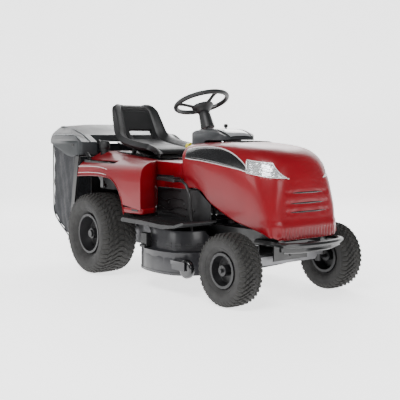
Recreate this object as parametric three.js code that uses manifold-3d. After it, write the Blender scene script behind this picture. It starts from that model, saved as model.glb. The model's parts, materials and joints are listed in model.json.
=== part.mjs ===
// Riding lawn mower with a rear grass collector, as separate named pieces.
// Millimetres, +Z up. -Y is the direction of travel and +X is the rider's left.
// Heights are above the ground, and lengths along Y are measured from the middle of the wheelbase.
import * as THREE from 'three';
import { mergeVertices } from 'three/addons/utils/BufferGeometryUtils.js';
import Module from 'manifold-3d';

const wasm = await Module();
wasm.setup();

// ---- driving dimensions ----
const CENTRE_SHIFT = -145.5;       // moves the middle of the wheelbase so that the whole part is centred on Y
const GAP = 0.4;                 // clearance between pieces that touch
const AXLE_FRONT = -557;
const AXLE_REAR = 557;
const FRONT_TYRE = { radius: 170, width: 128, bead: 84, centre: 337.5 };
const REAR_TYRE = { radius: 228.5, width: 216, bead: 113, centre: 347.5 };

const RAIL = { inner: 120, outer: 160, bottom: 275, top: 335, front: -690, rear: 715 };
const KINGPIN_X = 250;
const STEER_ARM = 85;            // length of every steering arm, so that the linkage stays a parallelogram
const AXLE_PIVOT_Z = 215;
const SECTOR_Y = -262;
const SECTOR_Z = 290;

const WHEEL_Y = 75;              // centre of the steering wheel
const WHEEL_Z = 960;
const WHEEL_RADIUS = 142;
const WHEEL_RIM = 12.5;
const COLUMN_TILT = THREE.MathUtils.degToRad(21.5);
const HOOD_WALL = 4;
const HOOD_PIVOT_Y = -700;
const HOOD_PIVOT_Z = 335;
const ENGINE_Y = -420;
const HOOD_REAR = -62;
const KNOB_X = -92;
const KNOB_Z = 724;
const KEY_X = 88;

const FENDER_REAR = 730;
const FENDER_WALL = 5;
const TUNNEL_HALF = 228;
const CAP_X = -240;
const CAP_Y = 690;
const LEVER_Y = 520;
const LEVER_Z = 500;
const LEVER_ANGLE = THREE.MathUtils.degToRad(42);
const PEDAL_Y = -179;
const PEDAL_Z = 300;
const THROTTLE_Z = 772;

const DECK = { half: 425, front: -303, rear: 186, bottom: 98, ledge: 210, top: 243, wall: 4 };
const BLADE_X = 203;
const BLADE_Y = -60;
const BLADE_LENGTH = 424;
const DISC = { radius: 46, width: 30, x: 402, y: -318, z: 146 };

const SEAT_HALF = 195;
const SEAT_HINGE_Y = 314;
const SEAT_HINGE_Z = 658;
const TIP_Y = 800;               // pivot that the collector tips on
const TIP_Z = 740;
const LID_HALF = 385;
const BAG_HALF = 374;
const LID_FRONT = 737;
const LID_REAR = 1110;

// ---- materials ----
function paint(colour, roughness, metalness) {
  return new THREE.MeshStandardMaterial({ color: colour, roughness, metalness });
}

const RED = paint(0x9c0c12, 0.22, 0.0);
const BLACK = paint(0x17181a, 0.55, 0.0);
const GREY = paint(0x55585b, 0.45, 0.0);
const DECK_GREY = paint(0x3c3d40, 0.5, 0.2);
const STEEL_BLACK = paint(0x141516, 0.35, 0.3);
const STEEL = paint(0x9a9c9e, 0.35, 0.9);
const CAST = paint(0x6a6c6d, 0.6, 0.7);
const TYRE_BLACK = paint(0x2b2b2a, 0.9, 0.0);
const CUSHION = paint(0x1c1d1f, 0.7, 0.0);
const FABRIC = paint(0x202226, 0.95, 0.0);
const CLEAR = paint(0xd8dde0, 0.08, 0.0);
const YELLOW = paint(0xd8c21a, 0.4, 0.0);

const mower = new THREE.Group();
mower.position.y = CENTRE_SHIFT;

// ---- geometry helpers ----
function toSolid(geometry) {
  const bare = geometry.clone();
  bare.deleteAttribute('normal');
  bare.deleteAttribute('uv');
  const merged = mergeVertices(bare, 1e-4);
  return new wasm.Manifold(new wasm.Mesh({
    numProp: 3,
    vertProperties: new Float32Array(merged.attributes.position.array),
    triVerts: new Uint32Array(merged.index.array),
  }));
}

function toGeometry(solid) {
  const mesh = solid.getMesh();
  const geometry = new THREE.BufferGeometry();
  geometry.setAttribute('position', new THREE.BufferAttribute(new Float32Array(mesh.vertProperties), 3));
  geometry.setIndex(new THREE.BufferAttribute(new Uint32Array(mesh.triVerts), 1));
  geometry.computeVertexNormals();
  return geometry;
}

function join(...solids) {
  return solids.reduce((whole, next) => whole.add(next));
}

function cut(solid, ...tools) {
  return tools.reduce((whole, next) => whole.subtract(next), solid);
}

function common(...solids) {
  return solids.reduce((whole, next) => whole.intersect(next));
}

// A box from its low and high values along X, Y and Z.
function box(x, y, z) {
  const geometry = new THREE.BoxGeometry(x[1] - x[0], y[1] - y[0], z[1] - z[0]);
  geometry.translate((x[0] + x[1]) / 2, (y[0] + y[1]) / 2, (z[0] + z[1]) / 2);
  return toSolid(geometry);
}

// A round bar between two points; endRadius makes it a cone.
function bar(from, to, radius, sides = 12, endRadius = radius) {
  const start = new THREE.Vector3(...from);
  const end = new THREE.Vector3(...to);
  const along = end.clone().sub(start);
  const geometry = new THREE.CylinderGeometry(endRadius, radius, along.length(), sides);
  geometry.applyQuaternion(new THREE.Quaternion().setFromUnitVectors(
    new THREE.Vector3(0, 1, 0),
    along.clone().normalize(),
  ));
  geometry.translate(...start.add(end).multiplyScalar(0.5).toArray());
  return toSolid(geometry);
}

function outline(points) {
  return new THREE.Shape(points.map(([u, v]) => new THREE.Vector2(u, v)));
}

// The same outline with every corner rounded by a short curve.
function softOutline(points, radius) {
  const shape = new THREE.Shape();
  const count = points.length;
  points.forEach((point, index) => {
    const here = new THREE.Vector2(...point);
    const before = new THREE.Vector2(...points[(index + count - 1) % count]);
    const after = new THREE.Vector2(...points[(index + 1) % count]);
    const reachIn = Math.min(radius, here.distanceTo(before) * 0.45);
    const reachOut = Math.min(radius, here.distanceTo(after) * 0.45);
    const entry = here.clone().add(before.sub(here).setLength(reachIn));
    const exit = here.clone().add(after.sub(here).setLength(reachOut));
    if (index === 0) shape.moveTo(entry.x, entry.y);
    else shape.lineTo(entry.x, entry.y);
    shape.quadraticCurveTo(here.x, here.y, exit.x, exit.y);
  });
  shape.closePath();
  return shape;
}

function prism(shape, from, to, basis, steps) {
  const geometry = new THREE.ExtrudeGeometry(shape, {
    depth: to - from,
    bevelEnabled: false,
    curveSegments: steps,
  });
  geometry.translate(0, 0, from);
  geometry.applyMatrix4(basis);
  return toSolid(geometry);
}

const X = new THREE.Vector3(1, 0, 0);
const Y = new THREE.Vector3(0, 1, 0);
const Z = new THREE.Vector3(0, 0, 1);
const SIDE_BASIS = new THREE.Matrix4().makeBasis(Y, Z, X);
const PLAN_BASIS = new THREE.Matrix4();
const FRONT_BASIS = new THREE.Matrix4().makeBasis(X, Z, Y.clone().negate());

// Outlines drawn as (y, z), (x, y) and (x, z), each given thickness along the third axis.
function sidePrism(shape, from, to, steps = 4) {
  return prism(shape, from, to, SIDE_BASIS, steps);
}

function planPrism(shape, from, to, steps = 4) {
  return prism(shape, from, to, PLAN_BASIS, steps);
}

function frontPrism(shape, from, to, steps = 4) {
  return prism(shape, -to, -from, FRONT_BASIS, steps);
}

// A profile that leaves the axis free is closed on itself, so that it makes a ring.
function latheOf(profile, segments) {
  const points = profile.map(([r, h]) => new THREE.Vector2(r, h));
  if (profile[0][0] > 0) points.push(points[0].clone());
  return new THREE.LatheGeometry(points, segments);
}

// A ring or disc turned about an axis along X through (y, z); the profile is a list of (radius, x).
function turnedX(profile, y, z, segments = 32) {
  const geometry = latheOf(profile, segments);
  geometry.rotateZ(-Math.PI / 2);
  geometry.translate(0, y, z);
  return facingOut(geometry);
}

// The same about a vertical axis through (x, y); the profile is a list of (radius, z).
function turnedZ(profile, x, y, segments = 24) {
  const geometry = latheOf(profile, segments);
  geometry.rotateX(Math.PI / 2);
  geometry.translate(x, y, 0);
  return facingOut(geometry);
}

// A lathe profile may run either way round; this turns an inside-out solid the right way.
function facingOut(geometry) {
  const flat = geometry.clone();
  flat.deleteAttribute('normal');
  flat.deleteAttribute('uv');
  const merged = mergeVertices(flat, 1e-4);
  const spot = merged.attributes.position;
  const index = merged.index.array;
  const a = new THREE.Vector3();
  const b = new THREE.Vector3();
  const c = new THREE.Vector3();
  let volume = 0;
  for (let i = 0; i < index.length; i += 3) {
    a.fromBufferAttribute(spot, index[i]);
    b.fromBufferAttribute(spot, index[i + 1]);
    c.fromBufferAttribute(spot, index[i + 2]);
    volume += a.dot(b.cross(c));
  }
  if (volume < 0) {
    for (let i = 0; i < index.length; i += 3) {
      [index[i], index[i + 1]] = [index[i + 1], index[i]];
    }
  }
  return toSolid(merged);
}

// A bent tube through the given points.
function tube(points, radius, steps, sides = 8, closed = false) {
  const path = new THREE.CatmullRomCurve3(
    points.map((point) => new THREE.Vector3(...point)),
    closed,
    'centripetal',
  );
  const section = new THREE.Shape();
  section.absarc(0, 0, radius, 0, Math.PI * 2, false);
  const geometry = new THREE.ExtrudeGeometry(section, {
    steps,
    curveSegments: sides / 2,
    extrudePath: path,
    bevelEnabled: false,
  });
  return facingOut(geometry);
}

function rounded(x, y, z, radius) {
  const shape = softOutline([[x[0], y[0]], [x[1], y[0]], [x[1], y[1]], [x[0], y[1]]], radius);
  return planPrism(shape, z[0], z[1], 3);
}

function add(name, solid, material) {
  const mesh = new THREE.Mesh(toGeometry(solid), material);
  mesh.name = name;
  mower.add(mesh);
}

function mirrored(points) {
  return points.map(([u, v]) => [-u, v]).reverse();
}

// Both halves of an outline that is the same on the left and on the right.
function symmetric(half) {
  return [...half, ...mirrored(half)];
}

const SIDES = [['left', 1], ['right', -1]];

function span(side, inner, outer) {
  return side > 0 ? [inner, outer] : [-outer, -inner];
}

// ---- chassis ----
function buildFrame() {
  const rails = SIDES.map(([, sign]) => box(
    span(sign, RAIL.inner, RAIL.outer), [RAIL.front, RAIL.rear], [RAIL.bottom, RAIL.top],
  ));
  const plate = cut(
    box([-RAIL.inner - 1, RAIL.inner + 1], [-640, -290], [327, RAIL.top]),
    bar([0, ENGINE_Y, 320], [0, ENGINE_Y, 340], 30),
  );
  add('chassis_frame', join(...rails, plate, axleBracket(), batteryTray(),
    steeringBearing(), sectorCarrier(), ...hoodPosts()), STEEL_BLACK);

  const rearPlate = cut(
    frontPrism(softOutline(symmetric([[-228, 300], [-228, 412], [-318, 412], [-318, 632]]).reverse(), 8),
      RAIL.rear + GAP, 722),
    box([-114.6, 114.6], [700, 760], [330, 562]),
  );
  add('rear_plate', rearPlate, BLACK);
}

function axleBracket() {
  return join(
    box([-112, 112], [-612, -604], [190, 274.6]),
    box([-112, 112], [-510, -502], [190, 274.6]),
    box([-RAIL.outer, RAIL.outer], [-612, -502], [267, 276]),
    bar([0, -618, AXLE_PIVOT_Z], [0, -496, AXLE_PIVOT_Z], 10),
  );
}

function batteryTray() {
  const posts = SIDES.map(([, sign]) => box(span(sign, 146, 156), [-222, -212], [RAIL.top - 1, 508]));
  const shaftRoom = bar(columnPoint(-600), columnPoint(-300), 24, 14);
  const tray = cut(box([-200, 200], [-225, -90], [506, 511.6]), shaftRoom);
  return join(tray, ...posts);
}

function steeringBearing() {
  const posts = SIDES.map(([, sign]) => box(span(sign, 138, 148), [-200, -130], [RAIL.top - 1, 352]));
  const shaftBore = bar(columnPoint(-700), columnPoint(-600), 11.6, 14);
  const plate = cut(box([-148, 148], [-200, -130], [350, 356]), shaftBore);
  return join(plate, ...posts);
}

// The cross bar that holds the sector's pin.
function sectorCarrier() {
  return join(
    box([-RAIL.inner - 1, RAIL.inner + 1], [-256, -244], [314, 334]),
    box([-30, 30], [SECTOR_Y - 20, -244], [318, 334]),
    bar([0, SECTOR_Y, 270], [0, SECTOR_Y, 322], 8, 12),
  );
}

// Posts in front of the rails, with the pins that the hood tips on.
function hoodPosts() {
  return SIDES.map(([, sign]) => join(
    box(span(sign, 140, RAIL.outer), [HOOD_PIVOT_Y - 8, RAIL.front + 1], [312, 343]),
    bar([sign * 150, HOOD_PIVOT_Y, HOOD_PIVOT_Z], [sign * 174, HOOD_PIVOT_Y, HOOD_PIVOT_Z], 5, 10),
  ));
}

function buildBumper() {
  const half = [[177, -560], [177, -690], [200, -744], [140, -784], [0, -806]];
  const upper = [...half, ...mirrored(half).slice(1)].map(([x, y]) => [x, y, 288]);
  const lower = [[-176, -738, 258], [-80, -775, 258], [80, -775, 258], [176, -738, 258]];
  const shield = planPrism(outline([[-196, -732], [-88, -772], [88, -772], [196, -732], [196, -746], [90, -786],
    [-90, -786], [-196, -746]]), 258, 290);
  const feet = SIDES.map(([, sign]) => box(span(sign, RAIL.outer + GAP, 176), [-600, -560], [278, 300]));
  add('front_bumper', join(tube(upper, 13, 20), tube(lower, 9, 6), shield, ...feet), STEEL_BLACK);
}

function buildFloor() {
  for (const [side, sign] of SIDES) {
    const profile = softOutline([
      [215, 330], [205, 352], [20, 352], [-150, 345], [-255, 350], [-330, 372], [-338, 362],
      [-262, 338], [-160, 324], [20, 330],
    ], 18);
    const pedalSlot = box(span(sign, 246, 280), [-262, -110], [300, 400]);
    add(`footboard_${side}`, cut(sidePrism(profile, ...span(sign, TUNNEL_HALF + 2, 436)), pedalSlot), BLACK);
  }
  const outer = box([-TUNNEL_HALF, TUNNEL_HALF], [-284, 168], [338, 505]);
  const inner = box([-TUNNEL_HALF + 5, TUNNEL_HALF - 5], [-400, 300], [300, 500]);
  const slope = sidePrism(outline([[-300, 430], [-300, 520], [-160, 520]]), -300, 300);
  const roof = box([-160, 160], [-300, 40], [490, 520]);
  add('footwell_cover', cut(outer, inner, slope, roof, chassisPosts()), BLACK);
}

// Room for the tray's posts and the steering shaft in the cover's roof.
function chassisPosts() {
  return bar(columnPoint(-600), columnPoint(-300), 30, 14);
}

// ---- engine and drive ----
function buildEngine() {
  const block = join(
    turnedZ([[0, 336], [118, 336], [124, 344], [124, 430], [110, 446], [0, 446]], 0, ENGINE_Y, 28),
    box([-66, 66], [-610, -500], [352, 436]),
  );
  const fins = [0, 1, 2, 3, 4].map((i) => box([-72, 72], [-606 + i * 18, -600 + i * 18], [346, 442]));
  const crankHole = bar([0, ENGINE_Y, 300], [0, ENGINE_Y, 470], 14.4, 16);
  add('engine_crankcase', cut(join(block, ...fins), crankHole), CAST);
  const cowlProfile = [[0, 458], [150, 458], [152, 470], [150, 560], [120, 592], [60, 600], [0, 600]];
  const cowl = turnedZ(cowlProfile, 0, ENGINE_Y, 28);
  const hollow = turnedZ([[0, 450], [145, 450], [145, 556], [116, 586], [0, 586]], 0, ENGINE_Y, 28);
  const slotStarts = [-44, -28, -12, 4, 20, 36].map((offset) => ENGINE_Y + offset);
  const slots = slotStarts.map((y) => box([-60, 60], [y, y + 8], [580, 610]));
  const posts = [0, 1, 2].map((i) => {
    const a = (i * 2 * Math.PI) / 3;
    const spot = [Math.cos(a) * 108, ENGINE_Y + Math.sin(a) * 108];
    return bar([...spot, 444.5], [...spot, 590], 8, 8);
  });
  const caseTop = turnedZ([[0, 330], [126, 330], [126, 440], [112, 447], [0, 447]], 0, ENGINE_Y, 28);
  add('engine_cowl', cut(join(cut(cowl, hollow, ...slots), ...posts), caseTop), STEEL_BLACK);

  const shaft = bar([0, ENGINE_Y, 262], [0, ENGINE_Y, 460], 14, 16);
  const groove = [[60, 244], [50, 251], [60, 258]];
  const pulley = turnedZ([[0, 240], [60, 240], ...groove, [60, 262], [0, 262]], 0, ENGINE_Y, 24);
  const flywheel = turnedZ([[0, 460], [100, 460], [100, 500], [0, 500]], 0, ENGINE_Y, 20);
  const lugs = [0, 1, 2, 3].map((i) => {
    const a = (i * Math.PI) / 2;
    const spot = [Math.cos(a) * 70, ENGINE_Y + Math.sin(a) * 70];
    return bar([...spot, 499], [...spot, 530], 8, 8);
  });
  const thin = cut(flywheel, ...[0, 1, 2, 3].map((i) => {
    const a = ((i + 0.5) * Math.PI) / 2;
    const spot = [Math.cos(a) * 60, ENGINE_Y + Math.sin(a) * 60];
    return bar([...spot, 450], [...spot, 510], 20, 10);
  }));
  add('crankshaft_and_flywheel', join(shaft, pulley, thin, ...lugs), STEEL);

  add('muffler', join(
    bar([-150, -640, 400], [150, -640, 400], 26, 16),
    bar([120, -640, 400], [120, -668, 360], 12, 10),
  ), STEEL);
  add('battery', rounded([52, 190], [-215, -95], [512, 640], 8), BLACK);
}

function buildTransaxle() {
  const body = join(
    rounded([-112, 112], [478, 640], [150, 268], 40),
    bar([-190, AXLE_REAR, 228.5], [190, AXLE_REAR, 228.5], 36, 16),
    box([-155, -125], [530, 585], [200, 274.6]),
    box([125, 155], [530, 585], [200, 274.6]),
  );
  const bore = bar([-300, AXLE_REAR, 228.5], [300, AXLE_REAR, 228.5], 13.4, 16);
  const groove = [[56, 273], [46, 278], [56, 283]];
  const pulley = turnedZ([[0, 270], [56, 270], ...groove, [56, 286], [0, 286]], 0, 600, 24);
  const input = bar([0, 600, 260], [0, 600, 274], 10);
  add('transaxle', join(cut(body, bore), pulley, input), CAST);
}

function buildTank() {
  add('fuel_tank', join(
    rounded([-266, -128], [520, 708], [470, 600], 24),
    bar([CAP_X, CAP_Y, 590], [CAP_X, CAP_Y, 704], 22, 16),
  ), BLACK);
  const cap = turnedZ([[0, 704.6], [30, 704.6], [32, 710], [32, 738], [26, 748], [0, 750]], CAP_X, CAP_Y, 20);
  const skirt = turnedZ([[22.6, 690], [27, 690], [27, 706], [22.6, 706]], CAP_X, CAP_Y, 20);
  add('fuel_cap', join(cap, skirt), BLACK);
}

function buildChute() {
  const lower = [[192, 128], [330, 160], [452, 290], [640, 318], [738, 340]];
  const upper = [[738, 556], [640, 520], [430, 430], [320, 268], [192, 236]];
  const inset = 4;
  const innerLower = lower.map(([y, z]) => [y, z + inset]);
  const innerUpper = upper.map(([y, z]) => [y, z - inset]);
  innerLower[0] = [180, 131];
  innerLower[4] = [752, 346];
  innerUpper[0] = [752, 558];
  innerUpper[4] = [180, 231];
  const duct = cut(
    sidePrism(outline([...lower, ...upper]), -114, 114),
    sidePrism(outline([...innerLower, ...innerUpper]), -110, 110),
  );
  add('discharge_chute', duct, BLACK);
}

// ---- bodywork ----
// The hood is where its side view, plan and front view meet; inset makes the smaller one that hollows it.
function hoodForm(inset) {
  const side = softOutline([
    [HOOD_REAR, 505 - inset * 40], [HOOD_REAR, 738 - inset], [-240, 752 - inset], [-430, 742 - inset],
    [-560, 718 - inset], [-640 + inset, 690 - inset], [-690 + inset, 540], [-716 + inset, 430],
    [-724 + inset, 392], [-748 + inset, 366], [-750 + inset, 296 - inset * 60],
  ], 26);
  const plan = softOutline(symmetric([
    [-232 + inset, HOOD_REAR + inset * 8], [-236 + inset, -330], [-232 + inset, -560],
    [-216 + inset, -690 + inset], [-150, -738 + inset],
  ]), 60);
  const front = softOutline(symmetric([
    [236 - inset, 280 - inset * 60], [236 - inset, 560], [226 - inset, 668 - inset], [150, 728 - inset],
    [60, 753 - inset],
  ]).reverse(), 40);
  return common(
    sidePrism(side, -300, 300, 3),
    planPrism(plan, 100, 900, 4),
    frontPrism(front, -800, 200, 3),
  );
}

function buildHood() {
  const underside = outline([
    [20, 200], [20, 512], [-189, 512], [-289, 445], [-447, 381], [-616, 343], [-742, 300], [-742, 286],
    [-800, 286], [-800, 200],
  ]);
  const opening = rounded([-112, 112], [-372, -250], [700, 780], 24);
  const grooves = [520, 472, 430].map((z) => box([-120, 120], [-760, -700], [z - 4, z + 4]));
  const lamps = SIDES.map(([, sign]) => lampBlank(sign, 1));
  const mouth = box([-130, 130], [-262, 0], [560, 800]);
  const ears = SIDES.map(([, sign]) => join(
    box(span(sign, 166, 172), [HOOD_PIVOT_Y - 30, HOOD_PIVOT_Y + 12], [325, 347]),
    box(span(sign, 166, 200), [HOOD_PIVOT_Y - 34, HOOD_PIVOT_Y - 26], [325, 347]),
  ));
  const shell = cut(hoodForm(0), hoodForm(HOOD_WALL), sidePrism(underside, -300, 300), opening, mouth,
    ...grooves, ...lamps);
  const pinHole = bar([-300, HOOD_PIVOT_Y, HOOD_PIVOT_Z], [300, HOOD_PIVOT_Y, HOOD_PIVOT_Z], 5.4, 10);
  add('hood_shell', join(shell, ...ears.map((ear) => cut(ear, pinHole))), RED);

  const frame = rounded([-111, 111], [-371, -251], [738, 748], 23);
  const frameHole = rounded([-98, 98], [-358, -264], [730, 760], 12);
  const slats = [0, 1, 2, 3, 4].map((i) => box([-99, 99], [-352 + i * 19, -344 + i * 19], [739, 746]));
  add('hood_vent', join(cut(frame, frameHole), ...slats), BLACK);
  for (const [side, sign] of SIDES) {
    add(`headlamp_${side}`, common(lampBlank(sign, 0), hoodForm(0.5), lampFront(sign)), CLEAR);
  }
}

// A headlamp's window, cut through the corner of the hood; grow makes the hole larger than the lens.
function lampBlank(sign, grow) {
  const window = softOutline([
    [-518 + grow, 668 + grow], [-545 + grow, 598 - grow], [-760, 574 - grow], [-760, 664 + grow],
  ], 8);
  return sidePrism(window, ...span(sign, 88 - grow, 260));
}

function lampFront(sign) {
  const plan = outline([
    [sign * 200, -500], [sign * 260, -500], [sign * 260, -760],
    [sign * 60, -760], [sign * 60, -640], [sign * 160, -620],
  ]);
  return planPrism(plan, 500, 760);
}

function buildConsole() {
  const side = softOutline([
    [38, 690], [36, 772], [10, 806], [-60, 812], [-170, 808],
    [-250, 774], [-258, 757], [-110, 757], [-60, 690],
  ], 16);
  const front = softOutline(symmetric([[126, 600], [124, 770], [96, 812], [60, 822]]).reverse(), 24);
  const plan = softOutline([[-125, 38], [-125, -150], [-100, -262], [100, -262], [125, -150], [125, 38]], 70);
  const form = common(
    sidePrism(side, -300, 300, 3),
    frontPrism(front, -400, 200, 3),
    planPrism(plan, 600, 900, 5),
  );
  const skirt = box([-116, 116], [-56, 30], [642, 702]);
  const inner = join(box([-108, 108], [-50, 24], [600, 750]), box([-96, 96], [-180, 24], [700, 750]));
  const holes = [
    bar([KNOB_X, 0, KNOB_Z], [KNOB_X, 80, KNOB_Z], 6, 12),
    bar([KEY_X, 0, KNOB_Z], [KEY_X, 80, KNOB_Z], 6, 12),
    box([58, 68], [-90, -20], [740, 830]),
    bar(columnPoint(-600), columnPoint(-60), 13, 14),
  ];
  add('dash_console', cut(join(form, skirt), inner, ...holes), GREY);
}

function buildColumn() {
  const cover = bar(columnPoint(-152), columnPoint(-62), 38, 20, 30);
  const bore = bar(columnPoint(-600), columnPoint(0), 12.4, 14);
  const form = sidePrism(outline([[-200, 812.6], [120, 812.6], [120, 1000], [-200, 1000]]), -100, 100);
  add('steering_column', cut(common(cover, form), bore), BLACK);
}

// A point on the steering axis; distance is up the column from the middle of the steering wheel.
function columnPoint(distance) {
  return [0, WHEEL_Y + Math.sin(COLUMN_TILT) * distance, WHEEL_Z + Math.cos(COLUMN_TILT) * distance];
}

function buildFender() {
  add('fender_body', fenderShell(), RED);
  const guide = sidePrism(outline([[716, 612], [716, 642], [392, 622], [392, 604]]), -364.4, -325.6);
  const slot = box([-354, -336], [402, 706], [590, 660]);
  const leg = box([-364.4, -358], [LEVER_Y - 15, LEVER_Y + 15], [LEVER_Z - 12, 615]);
  const pin = bar([-362, LEVER_Y, LEVER_Z], [-334, LEVER_Y, LEVER_Z], 5, 10);
  add('height_quadrant', join(cut(guide, slot), leg, pin), BLACK);
}

function fenderForm(inset) {
  const side = softOutline([
    [-46 + inset, 380 - inset * 60], [-46 + inset, 640 - inset], [240, 645 - inset], [350, 655 - inset],
    [FENDER_REAR + inset * 12, 690 - inset], [FENDER_REAR + inset * 12, 470 - inset * 60],
  ], 14);
  const front = softOutline(symmetric([
    [402 - inset, 300 - inset * 60], [402 - inset, 560], [384 - inset, 618 - inset], [262, 668 - inset],
    [230, 691 - inset],
  ]).reverse(), 26);
  return common(sidePrism(side, -500, 500, 3), frontPrism(front, -200, 900, 3));
}

function fenderShell() {
  const arch = outline([
    [900, 200], [900, 556], [398, 556], [350, 545], [300, 512],
    [262, 462], [240, 400], [228, 341], [228, 200],
  ]);
  const dashSide = softOutline([[-86, 508], [-62, 640], [30, 640], [30, 508]], 6);
  const dashWall = sidePrism(dashSide, -TUNNEL_HALF, TUNNEL_HALF);
  const dashInside = box([-TUNNEL_HALF + 5, TUNNEL_HALF - 5], [-200, 60], [400, 634]);
  const slot = box([-365, -325], [390, 718], [560, 760]);
  const seatWell = box([-165, 165], [215, 640], [600, 700]);
  const capHole = bar([CAP_X, CAP_Y, 600], [CAP_X, CAP_Y, 760], 28, 16);
  const front = box([-TUNNEL_HALF + 5, TUNNEL_HALF - 5], [-60, 60], [300, 634]);
  const lowFront = box([-TUNNEL_HALF - 1, TUNNEL_HALF + 1], [-120, 172], [250, 507.6]);
  const topFront = box([-167.4, 167.4], [-56, 20], [630, 660]);
  const shaftRoom = bar(columnPoint(-600), columnPoint(-250), 24, 14);
  const well = (inset) => SIDES.map(([, sign]) => planPrism(outline([
    [sign * (TUNNEL_HALF - 1 - inset), -200], [sign * 430, -200], [sign * 430, 70 + inset * 1.6],
    [sign * 300, 100 + inset * 1.6], [sign * (TUNNEL_HALF - 1 - inset), 178 + inset * 1.6],
  ]), 200, 800));
  const shell = cut(cut(fenderForm(0), ...well(0)), cut(fenderForm(FENDER_WALL), ...well(FENDER_WALL)));
  const body = join(shell, cut(dashWall, dashInside));
  const arches = [sidePrism(arch, -500, -238), sidePrism(arch, 238, 500)];
  const belowBoards = box([-500, 500], [-300, 222], [300, 353]);
  return cut(body, shaftRoom, front, lowFront, topFront, slot, seatWell, capHole, ...arches, belowBoards);
}

// ---- steering and front axle ----
function buildSteering() {
  const ring = tube([0, 1, 2, 3, 4, 5, 6, 7].map((i) => {
    const a = (i * Math.PI) / 4;
    return ringPoint(Math.cos(a) * WHEEL_RADIUS, Math.sin(a) * WHEEL_RADIUS, 0);
  }), WHEEL_RIM, 24, 8, true);
  const hub = bar(columnPoint(-58), columnPoint(-22), 34, 20, 56);
  const cap = bar(columnPoint(-22), columnPoint(-12), 56, 20, 40);
  const spokes = [0.25, Math.PI - 0.25, -Math.PI / 2].map((a) => bar(
    ringPoint(Math.cos(a) * 38, Math.sin(a) * 38, -34),
    ringPoint(Math.cos(a) * WHEEL_RADIUS, Math.sin(a) * WHEEL_RADIUS, 0),
    11,
    8,
  ));
  const shaftHole = bar(columnPoint(-300), columnPoint(-30), 11.4, 14);
  add('steering_wheel', cut(join(ring, hub, cap, ...spokes), shaftHole), BLACK);

  const shaft = bar(columnPoint(-690), columnPoint(-31), 11, 14);
  add('steering_shaft', join(shaft, bar(columnPoint(-690), columnPoint(-668), 17, 14)), STEEL);

  const fan = planPrism(sectorOutline(0, 112), SECTOR_Z, SECTOR_Z + 8, 8);
  const toothedRim = planPrism(sectorOutline(103, 112), SECTOR_Z + 4, SECTOR_Z + 23.5, 8);
  const arm = box([-11, 11], [SECTOR_Y, SECTOR_Y + STEER_ARM + 12], [268, 276]);
  const boss = bar([0, SECTOR_Y, 268], [0, SECTOR_Y, SECTOR_Z + 8], 16, 16);
  const bore = bar([0, SECTOR_Y, 250], [0, SECTOR_Y, 330], 8.4, 12);
  add('steering_sector', cut(join(fan, toothedRim, arm, boss), bore), STEEL);

  const linkStart = [0, SECTOR_Y + STEER_ARM, 261.5];
  const linkEnd = [212, AXLE_FRONT + STEER_ARM, 265];
  add('drag_link', join(
    bar(linkStart, linkEnd, 5, 10),
    bar([...linkStart.slice(0, 2), 255], [...linkStart.slice(0, 2), 267.6], 11, 12),
    bar([...linkEnd.slice(0, 2), 258], [...linkEnd.slice(0, 2), 272], 10, 12),
  ), STEEL);
}

// A quarter of a disc or ring about the sector's pin, open towards the rear.
function sectorOutline(inner, outer) {
  const shape = new THREE.Shape();
  shape.absarc(0, SECTOR_Y, outer, Math.PI * 0.22, Math.PI * 0.78, false);
  if (inner > 0) shape.absarc(0, SECTOR_Y, inner, Math.PI * 0.78, Math.PI * 0.22, true);
  else shape.lineTo(0, SECTOR_Y - 16);
  return shape;
}

// A point in the plane of the steering wheel, raised along its axis.
function ringPoint(across, back, raise) {
  return [
    across,
    WHEEL_Y + Math.cos(COLUMN_TILT) * back + Math.sin(COLUMN_TILT) * raise,
    WHEEL_Z - Math.sin(COLUMN_TILT) * back + Math.cos(COLUMN_TILT) * raise,
  ];
}

function buildFrontAxle() {
  const right = [
    [205, 168], [224, 186], [262, 186], [262, 236], [234, 236], [206, 208], [30, 212], [24, 238],
  ];
  const shape = outline([...right, ...mirrored(right)]);
  const beam = frontPrism(shape, -577, -537);
  const centre = bar([0, -603, AXLE_PIVOT_Z], [0, -511, AXLE_PIVOT_Z], 24, 20);
  const kingpin = (sign, from, to, radius, sides) => (
    bar([sign * KINGPIN_X, AXLE_FRONT, from], [sign * KINGPIN_X, AXLE_FRONT, to], radius, sides)
  );
  const bosses = SIDES.map(([, sign]) => kingpin(sign, 186, 236, 20, 16));
  const bores = SIDES.map(([, sign]) => kingpin(sign, 150, 260, 9.4, 14));
  const pinBore = bar([0, -640, AXLE_PIVOT_Z], [0, -480, AXLE_PIVOT_Z], 10.4, 14);
  add('front_axle_beam', cut(join(beam, centre, ...bosses), ...bores, pinBore), CAST);

  for (const [side, sign] of SIDES) {
    const x = sign * KINGPIN_X;
    const armEnd = AXLE_FRONT + STEER_ARM;
    add(`steering_knuckle_${side}`, join(
      bar([x, AXLE_FRONT, 152], [x, AXLE_FRONT, 254], 9, 14),
      bar([x, AXLE_FRONT, 152], [x, AXLE_FRONT, 185.6], 17, 16),
      bar([x, AXLE_FRONT, FRONT_TYRE.radius], [sign * 398, AXLE_FRONT, FRONT_TYRE.radius], 9, 14),
      box([x - 11, x + 11], [AXLE_FRONT, armEnd + 11], [236.4, 244]),
    ), STEEL);
  }
  const y = AXLE_FRONT + STEER_ARM;
  add('tie_rod', join(
    bar([-KINGPIN_X, y, 226], [KINGPIN_X, y, 226], 6, 10),
    bar([-KINGPIN_X, y, 218], [-KINGPIN_X, y, 236], 9, 12),
    bar([KINGPIN_X, y, 218], [KINGPIN_X, y, 236], 9, 12),
  ), STEEL);
}

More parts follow.
